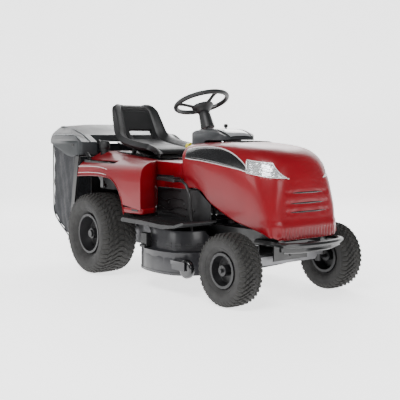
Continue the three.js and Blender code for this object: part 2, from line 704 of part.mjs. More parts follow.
// ---- wheels ----
function tyreProfile({ radius, width, bead }, x) {
  const w = width / 2;
  const side = [
    [bead, w * 0.8], [bead + (radius - bead) * 0.3, w * 0.98], [bead + (radius - bead) * 0.65, w],
    [radius * 0.975, w * 0.84], [radius, w * 0.5],
  ];
  const inner = [[radius - 12, w * 0.55], [bead + (radius - bead) * 0.5, w - 11], [bead, w * 0.8 - 14]];
  const near = side.map(([r, h]) => [r, x + h]);
  const far = side.map(([r, h]) => [r, x - h]).reverse();
  const farInside = inner.map(([r, h]) => [r, x - h]).reverse();
  const nearInside = inner.map(([r, h]) => [r, x + h]);
  return [...near, ...far, ...farInside, ...nearInside];
}

function rimProfile({ width, bead }, x, sign, hub, face, hubHalf) {
  const w = width / 2;
  const r = bead - GAP;
  const out = [
    [hub, face - hubHalf], [hub + 16, face - hubHalf], [hub + 16, face - 4],
    [r * 0.72, face - 4], [r * 0.8, -w * 0.55],
    [r - 14, -w * 0.8], [r, -w * 0.8], [r, w * 0.8], [r - 14, w * 0.8],
    [r * 0.8 + 4, w * 0.5], [r * 0.72 + 3, face + 2],
    [hub + 16, face + 2], [hub + 16, face + hubHalf], [hub, face + hubHalf],
  ];
  return out.map(([radius, h]) => [radius, x + sign * h]);
}

function buildWheels() {
  for (const [side, sign] of SIDES) {
    const rearX = sign * REAR_TYRE.centre;
    const frontX = sign * FRONT_TYRE.centre;
    const rearTyre = turnedX(tyreProfile(REAR_TYRE, rearX), AXLE_REAR, REAR_TYRE.radius, 24);
    add(`rear_tyre_${side}`, rearTyre, TYRE_BLACK);
    const frontTyre = turnedX(tyreProfile(FRONT_TYRE, frontX), AXLE_FRONT, FRONT_TYRE.radius, 20);
    add(`front_tyre_${side}`, frontTyre, TYRE_BLACK);
    const rearRim = turnedX(rimProfile(REAR_TYRE, rearX, sign, 13.4, 20, 46), AXLE_REAR, REAR_TYRE.radius, 24);
    const frontProfile = rimProfile(FRONT_TYRE, frontX, sign, 9.4, 8, 40);
    const frontRim = turnedX(frontProfile, AXLE_FRONT, FRONT_TYRE.radius, 20);
    add(`rear_rim_${side}`, rearRim, STEEL_BLACK);
    add(`front_rim_${side}`, frontRim, STEEL_BLACK);
    add(`half_shaft_${side}`, join(
      bar([sign * 8, AXLE_REAR, REAR_TYRE.radius], [sign * 422, AXLE_REAR, REAR_TYRE.radius], 13, 16),
      bar([sign * 415, AXLE_REAR, REAR_TYRE.radius], [sign * 424, AXLE_REAR, REAR_TYRE.radius], 20, 16),
    ), STEEL);
  }
}

// ---- cutting deck ----
function deckPlan(inset) {
  const { half, front, rear } = DECK;
  return softOutline([
    [-half + inset, -200], [-half + 120, front + inset], [-60, front + 26 + inset], [60, front + 26 + inset],
    [half - 120, front + inset], [half - inset, -200], [half - inset, 60], [half - 130, rear - inset],
    [-half + 130, rear - inset], [-half + inset, 60],
  ], 130);
}

function raisedPlan(inset) {
  return softOutline([
    [-350 + inset, -180], [-270, -250 + inset], [270, -250 + inset], [350 - inset, -180], [350 - inset, 50],
    [260, 130 - inset], [-260, 130 - inset], [-350 + inset, 50],
  ], 90);
}

function buildDeck() {
  const { bottom, ledge, top, wall, rear } = DECK;
  const skirt = planPrism(deckPlan(0), bottom, ledge, 3);
  const raised = planPrism(raisedPlan(0), ledge - 1, top, 3);
  const hollow = planPrism(deckPlan(wall), bottom - 10, ledge - wall, 3);
  const raisedHollow = planPrism(raisedPlan(wall), ledge - 20, top - wall, 3);
  const outlet = box([-106, 106], [rear - 60, rear + 20], [bottom - 20, 204]);
  const spindles = [-1, 1].map((s) => bar([s * BLADE_X, BLADE_Y, 170], [s * BLADE_X, BLADE_Y, 260], 9.4, 14));
  const housings = [-1, 1].map((s) => (
    bar([s * BLADE_X, BLADE_Y, 186], [s * BLADE_X, BLADE_Y, 249], 22, 16, 34)
  ));
  const arms = [-1, 1].map((s) => join(
    box([s * DISC.x - 25, s * DISC.x - 19], [DISC.y - 10, DISC.y + 90], [DISC.z - 8, DISC.z + 34]),
    bar([s * DISC.x - 22, DISC.y, DISC.z], [s * DISC.x + 24, DISC.y, DISC.z], 7, 12),
    box([s * DISC.x - 25, s * DISC.x + 25], [DISC.y + 58, DISC.y + 98], [DISC.z + 14, DISC.z + 34]),
  ));
  const hangers = [-1, 1].map((s) => cut(
    box([s * 352 - 14, s * 352 + 14], [20, 80], [236, 262]),
    box([s * 352 - 9, s * 352 + 9], [0, 100], [246, 280]),
  ));
  const shell = cut(join(skirt, raised), hollow, raisedHollow, outlet);
  add('deck_shell', cut(join(shell, ...housings, ...arms, ...hangers), ...spindles), DECK_GREY);

  const loop = (radius) => {
    const shape = new THREE.Shape();
    shape.absarc(BLADE_X, BLADE_Y, radius, -Math.PI / 2, Math.PI / 2, false);
    shape.absarc(-BLADE_X, BLADE_Y, radius, Math.PI / 2, Math.PI * 1.5, false);
    return shape;
  };
  const belt = cut(planPrism(loop(54), 253, 261, 7), planPrism(loop(48.4), 250, 265, 7));
  add('blade_timing_belt', belt, TYRE_BLACK);

  for (const [side, sign] of SIDES) {
    const x = sign * BLADE_X;
    const blade = side === 'left'
      ? box([x - 28, x + 28], [BLADE_Y - BLADE_LENGTH / 2, BLADE_Y + BLADE_LENGTH / 2], [138, 142])
      : box([x - BLADE_LENGTH / 2, x + BLADE_LENGTH / 2], [BLADE_Y - 28, BLADE_Y + 28], [138, 142]);
    const pulley = turnedZ([
      [0, 249.6], [52, 249.6], [52, 252], [48, 252], [48, 262], [52, 262], [52, 264], [0, 264],
    ], x, BLADE_Y, 24);
    const spindle = bar([x, BLADE_Y, 124], [x, BLADE_Y, 256], 9, 14);
    const boss = bar([x, BLADE_Y, 124], [x, BLADE_Y, 180], 16, 16);
    add(`blade_and_spindle_${side}`, join(blade, spindle, boss, pulley), STEEL);
    add(`anti_scalp_wheel_${side}`, turnedX([
      [7.4, -15], [30, -15], [42, -14], [DISC.radius, -8], [DISC.radius, 8], [42, 14], [30, 15], [7.4, 15],
    ].map(([r, h]) => [r, h + sign * DISC.x]), DISC.y, DISC.z, 24), BLACK);
  }
}

// ---- seat ----
// The seat's side view; its base rises towards the back, as a sprung seat does when nobody sits on it.
function buildSeat() {
  const side = softOutline([
    [322, 664], [318, 690], [345, 706], [480, 730], [620, 770], [668, 800], [722, 930], [752, 966], [776, 964],
    [786, 940], [742, 800], [724, 756], [690, 746],
  ], 22);
  const front = softOutline(symmetric([
    [178, 600], [SEAT_HALF, 720], [190, 880], [168, 956], [110, 975],
  ]).reverse(), 30);
  const plan = softOutline(symmetric([[-165, 310], [-SEAT_HALF, 420], [-SEAT_HALF, 820]]).reverse(), 40);
  const window = box([-80, 80], [600, 900], [757, 820]);
  const form = common(
    sidePrism(side, -300, 300, 4),
    frontPrism(front, 200, 900, 3),
    planPrism(plan, 500, 1100, 4),
  );
  add('seat_cushion', cut(form, window), CUSHION);

  const pan = sidePrism(outline([[345, 668.6], [345, 663], [680, 737], [680, 742.6]]), -160, 160);
  const tongue = box([-90, 90], [SEAT_HINGE_Y, 352], [659, 663.4]);
  const knuckle = bar([-90, SEAT_HINGE_Y, SEAT_HINGE_Z], [90, SEAT_HINGE_Y, SEAT_HINGE_Z], 5.5, 12);
  const pinHole = bar([-120, SEAT_HINGE_Y, SEAT_HINGE_Z], [120, SEAT_HINGE_Y, SEAT_HINGE_Z], 3.4, 10);
  add('seat_pan', cut(join(pan, tongue, knuckle), pinHole), STEEL_BLACK);

  const plate = sidePrism(outline([[372, 658.8], [372, 662], [650, 688], [650, 684.4]]), -178, 178);
  const earSide = outline([[SEAT_HINGE_Y - 6, 653.4], [380, 660], [380, 662.4], [SEAT_HINGE_Y - 6, 662]]);
  const ears = SIDES.map(([, sign]) => sidePrism(earSide, ...span(sign, 96, 102)));
  const springs = SIDES.map(([, sign]) => bar([sign * 90, 600, 682], [sign * 90, 600, 714], 14, 12));
  const pin = bar([-100, SEAT_HINGE_Y, SEAT_HINGE_Z], [100, SEAT_HINGE_Y, SEAT_HINGE_Z], 3, 10);
  add('seat_slide', join(plate, ...ears, ...springs, pin), STEEL_BLACK);
}

// ---- collector ----
function lidSide(inset) {
  return outline([
    [LID_FRONT + inset, 669], [LID_FRONT + inset, 742 - inset], [820, 782 - inset], [1040, 846 - inset],
    [LID_REAR - 16, 850 - inset], [LID_REAR - inset, 826 - inset], [LID_REAR - inset, 740 - inset * 40],
    [880, 662 - inset * 40], [830, 655 - inset * 40],
  ]);
}

function lidForm(inset) {
  const front = softOutline(symmetric([
    [LID_HALF - inset, 500 - inset * 60], [LID_HALF - inset, 742 - inset], [LID_HALF - 22, 790 - inset],
    [300, 838 - inset], [80, 852 - inset],
  ]).reverse(), 20);
  const plan = softOutline([
    [-LID_HALF + inset, LID_FRONT + inset], [LID_HALF - inset, LID_FRONT + inset],
    [LID_HALF - inset, LID_REAR - inset], [-LID_HALF + inset, LID_REAR - inset],
  ], 30);
  return common(sidePrism(lidSide(inset), -500, 500), frontPrism(front, 600, 1200), planPrism(plan, 0, 1000));
}

function buildCollector() {
  const notchX = 262;
  const seatNotch = box([-notchX, notchX], [600, 826], [600, 900]);
  const lidShell = cut(lidForm(0), lidForm(4));
  const cheeks = common(
    cut(lidForm(0), seatNotch),
    join(
      box([-notchX - 4, notchX + 4], [822, 830], [742, 860]),
      box([-notchX - 4, -notchX], [700, 830], [680, 860]),
      box([notchX, notchX + 4], [700, 830], [680, 860])),
  );
  add('collector_lid', join(cut(lidShell, seatNotch), cheeks), GREY);

  const bagSide = (inset) => outline([
    [742 + inset, 645], [852 + inset, 162 + inset], [890, 152 + inset], [LID_REAR - 12 - inset, 284 + inset],
    [LID_REAR - 12 - inset, 730 + inset * 10], [742 + inset, 645 + inset * 10],
  ]);
  const sloped = sidePrism(outline([[730, 645], [1100, 735], [1100, 900], [730, 900]]), -500, 500);
  const bagHollow = sidePrism(bagSide(8), -BAG_HALF + 8, BAG_HALF - 8);
  const mouth = box([-135, 135], [730, 830], [322, 580]);
  add('collector_bag', cut(sidePrism(bagSide(0), -BAG_HALF, BAG_HALF), bagHollow, mouth, sloped), FABRIC);

  const stripSide = outline([[741, 654], [744, 662], [762, 662], [782, 654], [886, 150], [850, 160]]);
  const strips = SIDES.map(([, sign]) => sidePrism(stripSide,
    ...span(sign, BAG_HALF + GAP, LID_HALF)));
  const crossBar = bar([-BAG_HALF - 4, 754, 660.5], [BAG_HALF + 4, 754, 660.5], 5.5, 10);
  const lug = outline([[749, 658], [759, 656], [816, 732], [812, 752], [790, 754]]);
  const lugs = SIDES.map(([, sign]) => sidePrism(lug, ...span(sign, 242, 248)));
  const eye = bar([-300, TIP_Y, TIP_Z], [300, TIP_Y, TIP_Z], 9.4, 14);
  add('collector_frame', cut(join(...strips, crossBar, ...lugs), eye), STEEL_BLACK);

  const arm = outline([
    [722.4, 575], [728, 575], [738, 640], [742, 668], [795, 724],
    [815, 734], [815, 748], [800, 756], [785, 752],
    [731.5, 700], [731.5, 680], [722.4, 668],
  ]);
  const arms = SIDES.map(([, sign]) => sidePrism(arm, ...span(sign, 212, 218)));
  const pins = SIDES.map(([, sign]) => bar([sign * 213, TIP_Y, TIP_Z], [sign * 252, TIP_Y, TIP_Z], 9, 14));
  const strap = box([-218, 218], [722.4, 728], [575, 600]);
  add('tipping_bracket', join(strap, ...arms, ...pins), STEEL_BLACK);
}

// ---- controls ----
function buildControls() {
  for (const [side, sign] of SIDES) {
    const x = sign * 263;
    const points = [[x, PEDAL_Y, PEDAL_Z], [x, -168, 400], [x, -148, 505], [x, -118, 543], [x, -70, 551]];
    const padSide = softOutline([[-78, 544], [84, 550], [84, 566], [-78, 560]], 6);
    const pad = sidePrism(padSide, ...span(sign, 240, 298));
    const pivot = bar([sign * (RAIL.outer + GAP), PEDAL_Y, PEDAL_Z], [sign * 272, PEDAL_Y, PEDAL_Z], 9, 12);
    add(side === 'right' ? 'drive_pedal' : 'brake_pedal', join(tube(points, 8, 9), pad, pivot), BLACK);
  }
  const grip = (from, to, radius) => bar(leverPoint(from), leverPoint(to), radius, 14);
  const blade = sidePrism(outline([[-12, -8], [232, -6], [232, 6], [-12, 8]]), -350, -340);
  add('height_lever', placeLever(blade).add(grip(226, 264, 11)).subtract(
    bar([-400, LEVER_Y, LEVER_Z], [-300, LEVER_Y, LEVER_Z], 5.4, 12),
  ), BLACK);

  const knob = turnedKnob(KNOB_X, KNOB_Z, 17, 34);
  add('blade_engage_knob', join(knob, bar([KNOB_X, 12, KNOB_Z], [KNOB_X, 60, KNOB_Z], 5.4, 12)), YELLOW);
  const keyHead = box([KEY_X - 2, KEY_X + 2], [44, 66], [KNOB_Z - 11, KNOB_Z + 11]);
  add('ignition_key', join(keyHead, bar([KEY_X, 12, KNOB_Z], [KEY_X, 46, KNOB_Z], 5.4, 12)), STEEL);
  add('throttle_lever', join(
    box([61, 65], [-60, -50], [THROTTLE_Z - 6, 826]),
    bar([56, -55, 832], [70, -55, 832], 10, 14),
    bar([58.4, -55, THROTTLE_Z], [67.6, -55, THROTTLE_Z], 9, 12),
  ), BLACK);
}

// A round knob on the back of the console.
function turnedKnob(x, z, radius, depth) {
  const shoulder = [x, 52 + depth * 0.7, z];
  const barrel = bar([x, 52, z], shoulder, radius, 18);
  return join(barrel, bar(shoulder, [x, 52 + depth, z], radius, 18, radius * 0.6));
}

function leverPoint(distance) {
  return [-345, LEVER_Y + Math.cos(LEVER_ANGLE) * distance, LEVER_Z + Math.sin(LEVER_ANGLE) * distance];
}

function placeLever(solid) {
  return solid.rotate([THREE.MathUtils.radToDeg(LEVER_ANGLE), 0, 0]).translate([0, LEVER_Y, LEVER_Z]);
}

buildFrame();
buildBumper();
buildFloor();
buildEngine();
buildTransaxle();
buildTank();
buildChute();
buildHood();
buildConsole();
buildColumn();
buildFender();
buildSteering();
buildFrontAxle();
buildWheels();
buildDeck();
buildSeat();
buildCollector();
buildControls();

export default mower;
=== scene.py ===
"""Riding lawn mower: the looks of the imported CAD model. Lengths below are millimetres from the middle of the
wheelbase, as in the design, and at() turns them into the frame's metres."""
import json
import math

import bmesh
import bpy
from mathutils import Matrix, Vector
from mathutils.bvhtree import BVHTree

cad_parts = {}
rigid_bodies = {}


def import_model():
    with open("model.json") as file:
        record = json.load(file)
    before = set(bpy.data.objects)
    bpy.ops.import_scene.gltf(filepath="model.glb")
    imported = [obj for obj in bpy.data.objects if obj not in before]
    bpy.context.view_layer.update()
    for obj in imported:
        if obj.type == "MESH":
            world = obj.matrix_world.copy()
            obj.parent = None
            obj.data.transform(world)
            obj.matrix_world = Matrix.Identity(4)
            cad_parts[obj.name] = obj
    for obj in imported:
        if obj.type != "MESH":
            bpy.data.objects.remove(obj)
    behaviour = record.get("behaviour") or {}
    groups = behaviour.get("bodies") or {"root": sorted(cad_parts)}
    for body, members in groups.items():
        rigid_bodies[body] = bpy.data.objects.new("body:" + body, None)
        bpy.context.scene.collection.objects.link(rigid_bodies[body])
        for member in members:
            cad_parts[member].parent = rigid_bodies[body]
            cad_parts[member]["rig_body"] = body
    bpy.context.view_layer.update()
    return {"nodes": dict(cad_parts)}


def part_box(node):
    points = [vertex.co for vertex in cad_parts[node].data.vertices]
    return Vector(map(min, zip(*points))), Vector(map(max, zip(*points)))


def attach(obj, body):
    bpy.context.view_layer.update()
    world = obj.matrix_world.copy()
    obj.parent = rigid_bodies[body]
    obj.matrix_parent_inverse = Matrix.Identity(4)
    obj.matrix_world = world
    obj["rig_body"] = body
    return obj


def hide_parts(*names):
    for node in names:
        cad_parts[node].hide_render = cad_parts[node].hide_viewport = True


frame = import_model()


def middle(node):
    low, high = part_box(node)
    return (Vector(low) + Vector(high)) / 2


FRONT_AXLE = middle("front_tyre_left")
REAR_AXLE = middle("rear_tyre_left")
MID_Y = (FRONT_AXLE.y + REAR_AXLE.y) / 2
MM = 0.001


def at(x, y, z):
    return Vector((x * MM, y * MM + MID_Y, z * MM))


# ---- materials ----
def principled(name, colour, roughness, metallic=0.0, coat=0.0, coat_roughness=0.05, transmission=0.0):
    material = bpy.data.materials.new(name)
    material.use_nodes = True
    shader = material.node_tree.nodes["Principled BSDF"]
    shader.inputs["Base Color"].default_value = (*colour, 1.0)
    shader.inputs["Roughness"].default_value = roughness
    shader.inputs["Metallic"].default_value = metallic
    shader.inputs["Coat Weight"].default_value = coat
    shader.inputs["Coat Roughness"].default_value = coat_roughness
    shader.inputs["Transmission Weight"].default_value = transmission
    return material, shader


def noise(tree, scale, detail=4.0, stretch=(1, 1, 1)):
    """A noise texture in object space."""
    where = tree.nodes.new("ShaderNodeTexCoord")
    mapping = tree.nodes.new("ShaderNodeMapping")
    mapping.inputs["Scale"].default_value = stretch
    texture = tree.nodes.new("ShaderNodeTexNoise")
    texture.inputs["Scale"].default_value = scale
    texture.inputs["Detail"].default_value = detail
    tree.links.new(where.outputs["Object"], mapping.inputs["Vector"])
    tree.links.new(mapping.outputs["Vector"], texture.inputs["Vector"])
    return texture


def ramp(tree, source, low, high, dark, light):
    node = tree.nodes.new("ShaderNodeValToRGB")
    node.color_ramp.elements[0].position = low
    node.color_ramp.elements[1].position = high
    node.color_ramp.elements[0].color = (*dark, 1.0)
    node.color_ramp.elements[1].color = (*light, 1.0)
    tree.links.new(source, node.inputs["Fac"])
    return node.outputs["Color"]


def vary_colour(tree, shader, source, low, high, dark, light):
    tree.links.new(ramp(tree, source, low, high, dark, light), shader.inputs["Base Color"])


def vary_gloss(tree, shader, source, low, high, smooth, rough):
    tree.links.new(ramp(tree, source, low, high, (smooth,) * 3, (rough,) * 3), shader.inputs["Roughness"])


def bump(tree, shader, height, strength, distance=0.001):
    node = tree.nodes.new("ShaderNodeBump")
    node.inputs["Strength"].default_value = strength
    node.inputs["Distance"].default_value = distance
    tree.links.new(height, node.inputs["Height"])
    before = shader.inputs["Normal"]
    if before.is_linked:
        tree.links.new(before.links[0].from_socket, node.inputs["Normal"])
    tree.links.new(node.outputs["Normal"], shader.inputs["Normal"])


def shade(colour, factor):
    return tuple(min(1.0, channel * factor) for channel in colour)


def worn(name, colour, roughness, grain, metallic=0.0, coat=0.0, vary=0.18, depth=0.15, spread=0.12):
    """A surface with slight colour changes, uneven gloss and a fine grain."""
    material, shader = principled(name, colour, roughness, metallic, coat)
    tree = material.node_tree
    broad = noise(tree, 9.0, 5.0)
    vary_colour(tree, shader, broad.outputs["Fac"], 0.3, 0.7, shade(colour, 1 - vary), shade(colour, 1 + vary))
    gloss = noise(tree, 26.0, 6.0)
    vary_gloss(tree, shader, gloss.outputs["Fac"], 0.3, 0.75, roughness - spread / 2, roughness + spread / 2)
    fine = noise(tree, grain, 3.0)
    bump(tree, shader, fine.outputs["Fac"], depth, 0.0006)
    return material


def red_paint():
    """Deep red enamel under a clear coat, with the slight ripple of sprayed sheet."""
    colour = (0.175, 0.0005, 0.005)
    material, shader = principled("red_paint", colour, 0.34, 0.0, 0.12, 0.08)
    shader.inputs["Specular IOR Level"].default_value = 0.35
    tree = material.node_tree
    broad = noise(tree, 4.0, 3.0)
    vary_colour(tree, shader, broad.outputs["Fac"], 0.3, 0.7, shade(colour, 0.88), shade(colour, 1.12))
    dust = noise(tree, 60.0, 6.0)
    vary_gloss(tree, shader, dust.outputs["Fac"], 0.35, 0.8, 0.31, 0.36)
    ripple = noise(tree, 700.0, 2.0)
    bump(tree, shader, ripple.outputs["Fac"], 0.015, 0.0002)
    return material


def tyre_rubber(name, colour):
    """Dull rubber, greyer where it is scuffed, with fine moulding grain."""
    material, shader = principled(name, colour, 0.82)
    tree = material.node_tree
    scuff = noise(tree, 34.0, 8.0)
    vary_colour(tree, shader, scuff.outputs["Fac"], 0.32, 0.72, shade(colour, 0.75), shade(colour, 1.35))
    grain = noise(tree, 900.0, 2.0)
    bump(tree, shader, grain.outputs["Fac"], 0.25, 0.0006)
    return material


def grained(name, colour, roughness, cell, depth):
    """Leather-like grain of small raised cells, for vinyl and textured plastic."""
    material, shader = principled(name, colour, roughness)
    tree = material.node_tree
    where = tree.nodes.new("ShaderNodeTexCoord")
    cells = tree.nodes.new("ShaderNodeTexVoronoi")
    cells.inputs["Scale"].default_value = cell
    tree.links.new(where.outputs["Object"], cells.inputs["Vector"])
    broad = noise(tree, 14.0, 5.0)
    vary_colour(tree, shader, broad.outputs["Fac"], 0.3, 0.7, shade(colour, 0.82), shade(colour, 1.2))
    vary_gloss(tree, shader, broad.outputs["Fac"], 0.25, 0.8, roughness - 0.07, roughness + 0.07)
    bump(tree, shader, cells.outputs["Distance"], depth, 0.0008)
    return material


def mesh_fabric():
    """Black woven mesh: two crossed waves make the threads, and the light catches them."""
    colour = (0.009, 0.010, 0.014)
    material, shader = principled("mesh_fabric", colour, 0.78)
    shader.inputs["Sheen Weight"].default_value = 0.10
    shader.inputs["Sheen Roughness"].default_value = 0.45
    tree = material.node_tree
    where = tree.nodes.new("ShaderNodeTexCoord")
    heights = []
    for direction in ("Y", "Z"):
        wave = tree.nodes.new("ShaderNodeTexWave")
        wave.bands_direction = direction
        wave.inputs["Scale"].default_value = 130.0
        wave.inputs["Distortion"].default_value = 0.4
        tree.links.new(where.outputs["Object"], wave.inputs["Vector"])
        heights.append(wave.outputs["Fac"])
    weave = tree.nodes.new("ShaderNodeMath")
    weave.operation = "MULTIPLY"
    tree.links.new(heights[0], weave.inputs[0])
    tree.links.new(heights[1], weave.inputs[1])
    threads = ramp(tree, weave.outputs["Value"], 0.1, 0.8, shade(colour, 0.6), shade(colour, 1.8))
    tree.links.new(threads, shader.inputs["Base Color"])
    bump(tree, shader, weave.outputs["Value"], 0.5, 0.0008)
    return material


def brushed(name, colour, roughness, stretch):
    material, shader = principled(name, colour, roughness, 1.0)
    tree = material.node_tree
    lines = noise(tree, 60.0, 4.0, stretch)
    vary_colour(tree, shader, lines.outputs["Fac"], 0.3, 0.7, shade(colour, 0.75), shade(colour, 1.15))
    vary_gloss(tree, shader, lines.outputs["Fac"], 0.3, 0.7, roughness - 0.08, roughness + 0.12)
    bump(tree, shader, lines.outputs["Fac"], 0.15, 0.0003)
    return material


def reflector_chrome():
    """Faceted bright reflector, seen through the lamp's lens."""
    material, shader = principled("reflector", (0.86, 0.88, 0.89), 0.12, 1.0)
    tree = material.node_tree
    flutes = noise(tree, 45.0, 1.0, (1, 1, 3))
    bump(tree, shader, flutes.outputs["Fac"], 0.5, 0.004)
    vary_colour(tree, shader, flutes.outputs["Fac"], 0.35, 0.65, (0.45, 0.47, 0.48), (0.95, 0.96, 0.97))
    return material


def lens_clear():
    material, shader = principled("lens_clear", (0.93, 0.95, 0.96), 0.06, 0.0, 0.3, 0.03, 0.75)
    shader.inputs["IOR"].default_value = 1.3
    tree = material.node_tree
    flutes = noise(tree, 70.0, 2.0, (1, 1, 0.2))
    bump(tree, shader, flutes.outputs["Fac"], 0.2, 0.001)
    haze = noise(tree, 40.0, 4.0)
    vary_gloss(tree, shader, haze.outputs["Fac"], 0.3, 0.8, 0.03, 0.14)
    return material


MATERIALS = {
    "red": red_paint(),
    "black_plastic": grained("black_plastic", (0.006, 0.0063, 0.007), 0.5, 900.0, 0.12),
    "gloss_black": worn("gloss_black", (0.004, 0.0043, 0.005), 0.24, 700.0, coat=0.4, depth=0.03, spread=0.08),
    "rim_black": worn("rim_black", (0.010, 0.010, 0.011), 0.42, 600.0, vary=0.15, depth=0.05),
    # Pale grey, glossy colour of the plate laid on the console's top as a painted sheen.
    "panel": worn("console_painted_sheen", (0.30, 0.31, 0.32), 0.22, 900.0, coat=0.3, vary=0.05, depth=0.02),
    "console": grained("console_grey", (0.022, 0.024, 0.027), 0.42, 1000.0, 0.10),
    "lid": grained("lid_grey", (0.024, 0.027, 0.029), 0.36, 1100.0, 0.06),
    # Pale grey of the lines along the lid's ridges: a painted highlight.
    "lid_highlight": worn("lid_painted_highlight", (0.16, 0.17, 0.175), 0.3, 900.0, vary=0.08, depth=0.03),
    "deck": worn("deck_paint", (0.020, 0.020, 0.023), 0.36, 500.0, coat=0.15, vary=0.1),
    "frame_black": worn("frame_black", (0.005, 0.005, 0.0055), 0.34, 600.0, coat=0.2, vary=0.2, depth=0.08),
    "cast": worn("cast_metal", (0.26, 0.26, 0.27), 0.55, 380.0, metallic=0.7, depth=0.5),
    "steel": brushed("steel", (0.52, 0.52, 0.53), 0.34, (1, 1, 12)),
    "tyre": tyre_rubber("tyre_rubber", (0.015, 0.0145, 0.013)),
    "sidewall": tyre_rubber("tyre_sidewall", (0.022, 0.0215, 0.021)),
    "belt": tyre_rubber("belt_rubber", (0.02, 0.02, 0.02)),
    "seat": grained("seat_vinyl", (0.007, 0.0073, 0.008), 0.5, 700.0, 0.22),
    "fabric": mesh_fabric(),
    "reflector": reflector_chrome(),
    "lens": lens_clear(),
    # Pale colour for the frames round the lamp openings, and a painted highlight on the fender's side lines and on the
    # borders of the hood's black inserts.
    "bright": worn("pale_frame_and_painted_highlight", (0.62, 0.60, 0.60), 0.3, 600.0, metallic=0.4, vary=0.06, depth=0.04),
    "yellow": worn("yellow_plastic", (0.62, 0.55, 0.03), 0.4, 500.0, vary=0.08),
}


# ---- helpers ----
SIDES = (("left", 1), ("right", -1))


def both(stem):
    return [f"{stem}_{side}" for side, _ in SIDES]


def from_bmesh(name, work, material, body, replaced=(), smooth=40.0):
    """Turn a bmesh into an object that moves with a CAD body, sharp where faces meet at over smooth degrees."""
    bmesh.ops.recalc_face_normals(work, faces=work.faces)
    mesh = bpy.data.meshes.new(name)
    work.to_mesh(mesh)
    work.free()
    mesh.materials.append(MATERIALS[material])
    mesh.shade_smooth()
    mesh.set_sharp_from_angle(angle=math.radians(smooth))
    piece = bpy.data.objects.new(name, mesh)
    bpy.context.scene.collection.objects.link(piece)
    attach(piece, body)
    if replaced:
        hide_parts(*replaced)
    return piece


def apply_modifiers(piece):
    """Bake the modifiers into the mesh."""
    graph = bpy.context.evaluated_depsgraph_get()
    mesh = bpy.data.meshes.new_from_object(piece.evaluated_get(graph))
    piece.modifiers.clear()
    old = piece.data
    piece.data = mesh
    bpy.data.meshes.remove(old)
    return piece


def soften_edges(piece, width, segments=2, angle=38.0):
    bevel = piece.modifiers.new("edges", "BEVEL")
    bevel.width = width
    bevel.segments = segments
    bevel.limit_method = "ANGLE"
    bevel.angle_limit = math.radians(angle)
    bevel.harden_normals = True
    return apply_modifiers(piece)


def thicken(piece, depth, offset):
    """Give a surface a thickness in millimetres: offset 0 grows it both ways and -1 inward only."""
    solid = piece.modifiers.new("thickness", "SOLIDIFY")
    solid.thickness = depth * MM
    solid.offset = offset
    return apply_modifiers(piece)


def body_of(node):
    return frame["nodes"][node]["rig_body"]


def node_work(node):
    """The CAD node's mesh as a clean bmesh, with flat faces merged."""
    work = bmesh.new()
    work.from_mesh(frame["nodes"][node].data)
    bmesh.ops.remove_doubles(work, verts=work.verts, dist=0.00002)
    bmesh.ops.dissolve_limit(work, angle_limit=math.radians(1.0), verts=work.verts, edges=work.edges)
    return work


def refined(node, material, edge=1.2, smooth=40.0):
    """A finished copy of a CAD node: the same form with small rounded edges that catch the light."""
    piece = from_bmesh(node + "_finish", node_work(node), material, body_of(node), (node,), smooth)
    if edge:
        soften_edges(piece, edge * MM)
    return piece


def full_turn(count):
    """Angles spaced evenly round a circle."""
    return [2 * math.pi * k / count for k in range(count)]


def add_grid(work, rows, closed_u=False, closed_v=False):
    """Quads between rows of points; each row has the same number of points."""
    verts = [[work.verts.new(point) for point in row] for row in rows]
    count = len(rows)
    width = len(rows[0])
    for i in range(count if closed_u else count - 1):
        for j in range(width if closed_v else width - 1):
            a, b = verts[i], verts[(i + 1) % count]
            k = (j + 1) % width
            work.faces.new((a[j], a[k], b[k], b[j]))
    return verts


def add_block(work, centre, size, axes=None):
    """A box given by its middle, its three lengths and, if turned, its three directions."""
    axes = axes or (Vector((1, 0, 0)), Vector((0, 1, 0)), Vector((0, 0, 1)))
    corners = []
    for sx in (-1, 1):
        for sy in (-1, 1):
            for sz in (-1, 1):
                offset = axes[0] * sx * size[0] + axes[1] * sy * size[1] + axes[2] * sz * size[2]
                corners.append(work.verts.new(centre + offset / 2))
    for face in ((0, 1, 3, 2), (4, 6, 7, 5), (0, 4, 5, 1), (2, 3, 7, 6), (0, 2, 6, 4), (1, 5, 7, 3)):
        work.faces.new([corners[i] for i in face])


def add_rod(work, points, radius, sides=10, closed=False):
    """A round rod through the points."""
    rows = []
    count = len(points)
    up = Vector((0, 0, 1))
    for i, point in enumerate(points):
        before = points[(i - 1) % count] if closed or i else point
        after = points[(i + 1) % count] if closed or i < count - 1 else point
        along = (after - before).normalized()
        across = along.cross(up)
        across = across.normalized() if across.length > 0.05 else along.cross(Vector((1, 0, 0))).normalized()
        other = along.cross(across)
        rows.append([point + (across * math.cos(t) + other * math.sin(t)) * radius for t in full_turn(sides)])
    verts = add_grid(work, rows, closed, True)
    if not closed:
        work.faces.new(verts[0])
        work.faces.new(list(reversed(verts[-1])))


def add_turned(work, centre, axis, profile, sides, across=None):
    """A turned form: profile is a list of (distance along the axis, radius)."""
    axis = axis.normalized()
    across = across or axis.cross(Vector((0, 1, 0)) if abs(axis.y) < 0.9 else Vector((1, 0, 0))).normalized()
    other = axis.cross(across)
    rows = []
    turns = full_turn(sides)
    for along, radius in profile:
        rows.append([centre + axis * along + (across * math.cos(t) + other * math.sin(t)) * radius for t in turns])
    verts = add_grid(work, rows, False, True)
    if profile[0][1] > 0:
        work.faces.new(verts[0])
    if profile[-1][1] > 0:
        work.faces.new(list(reversed(verts[-1])))


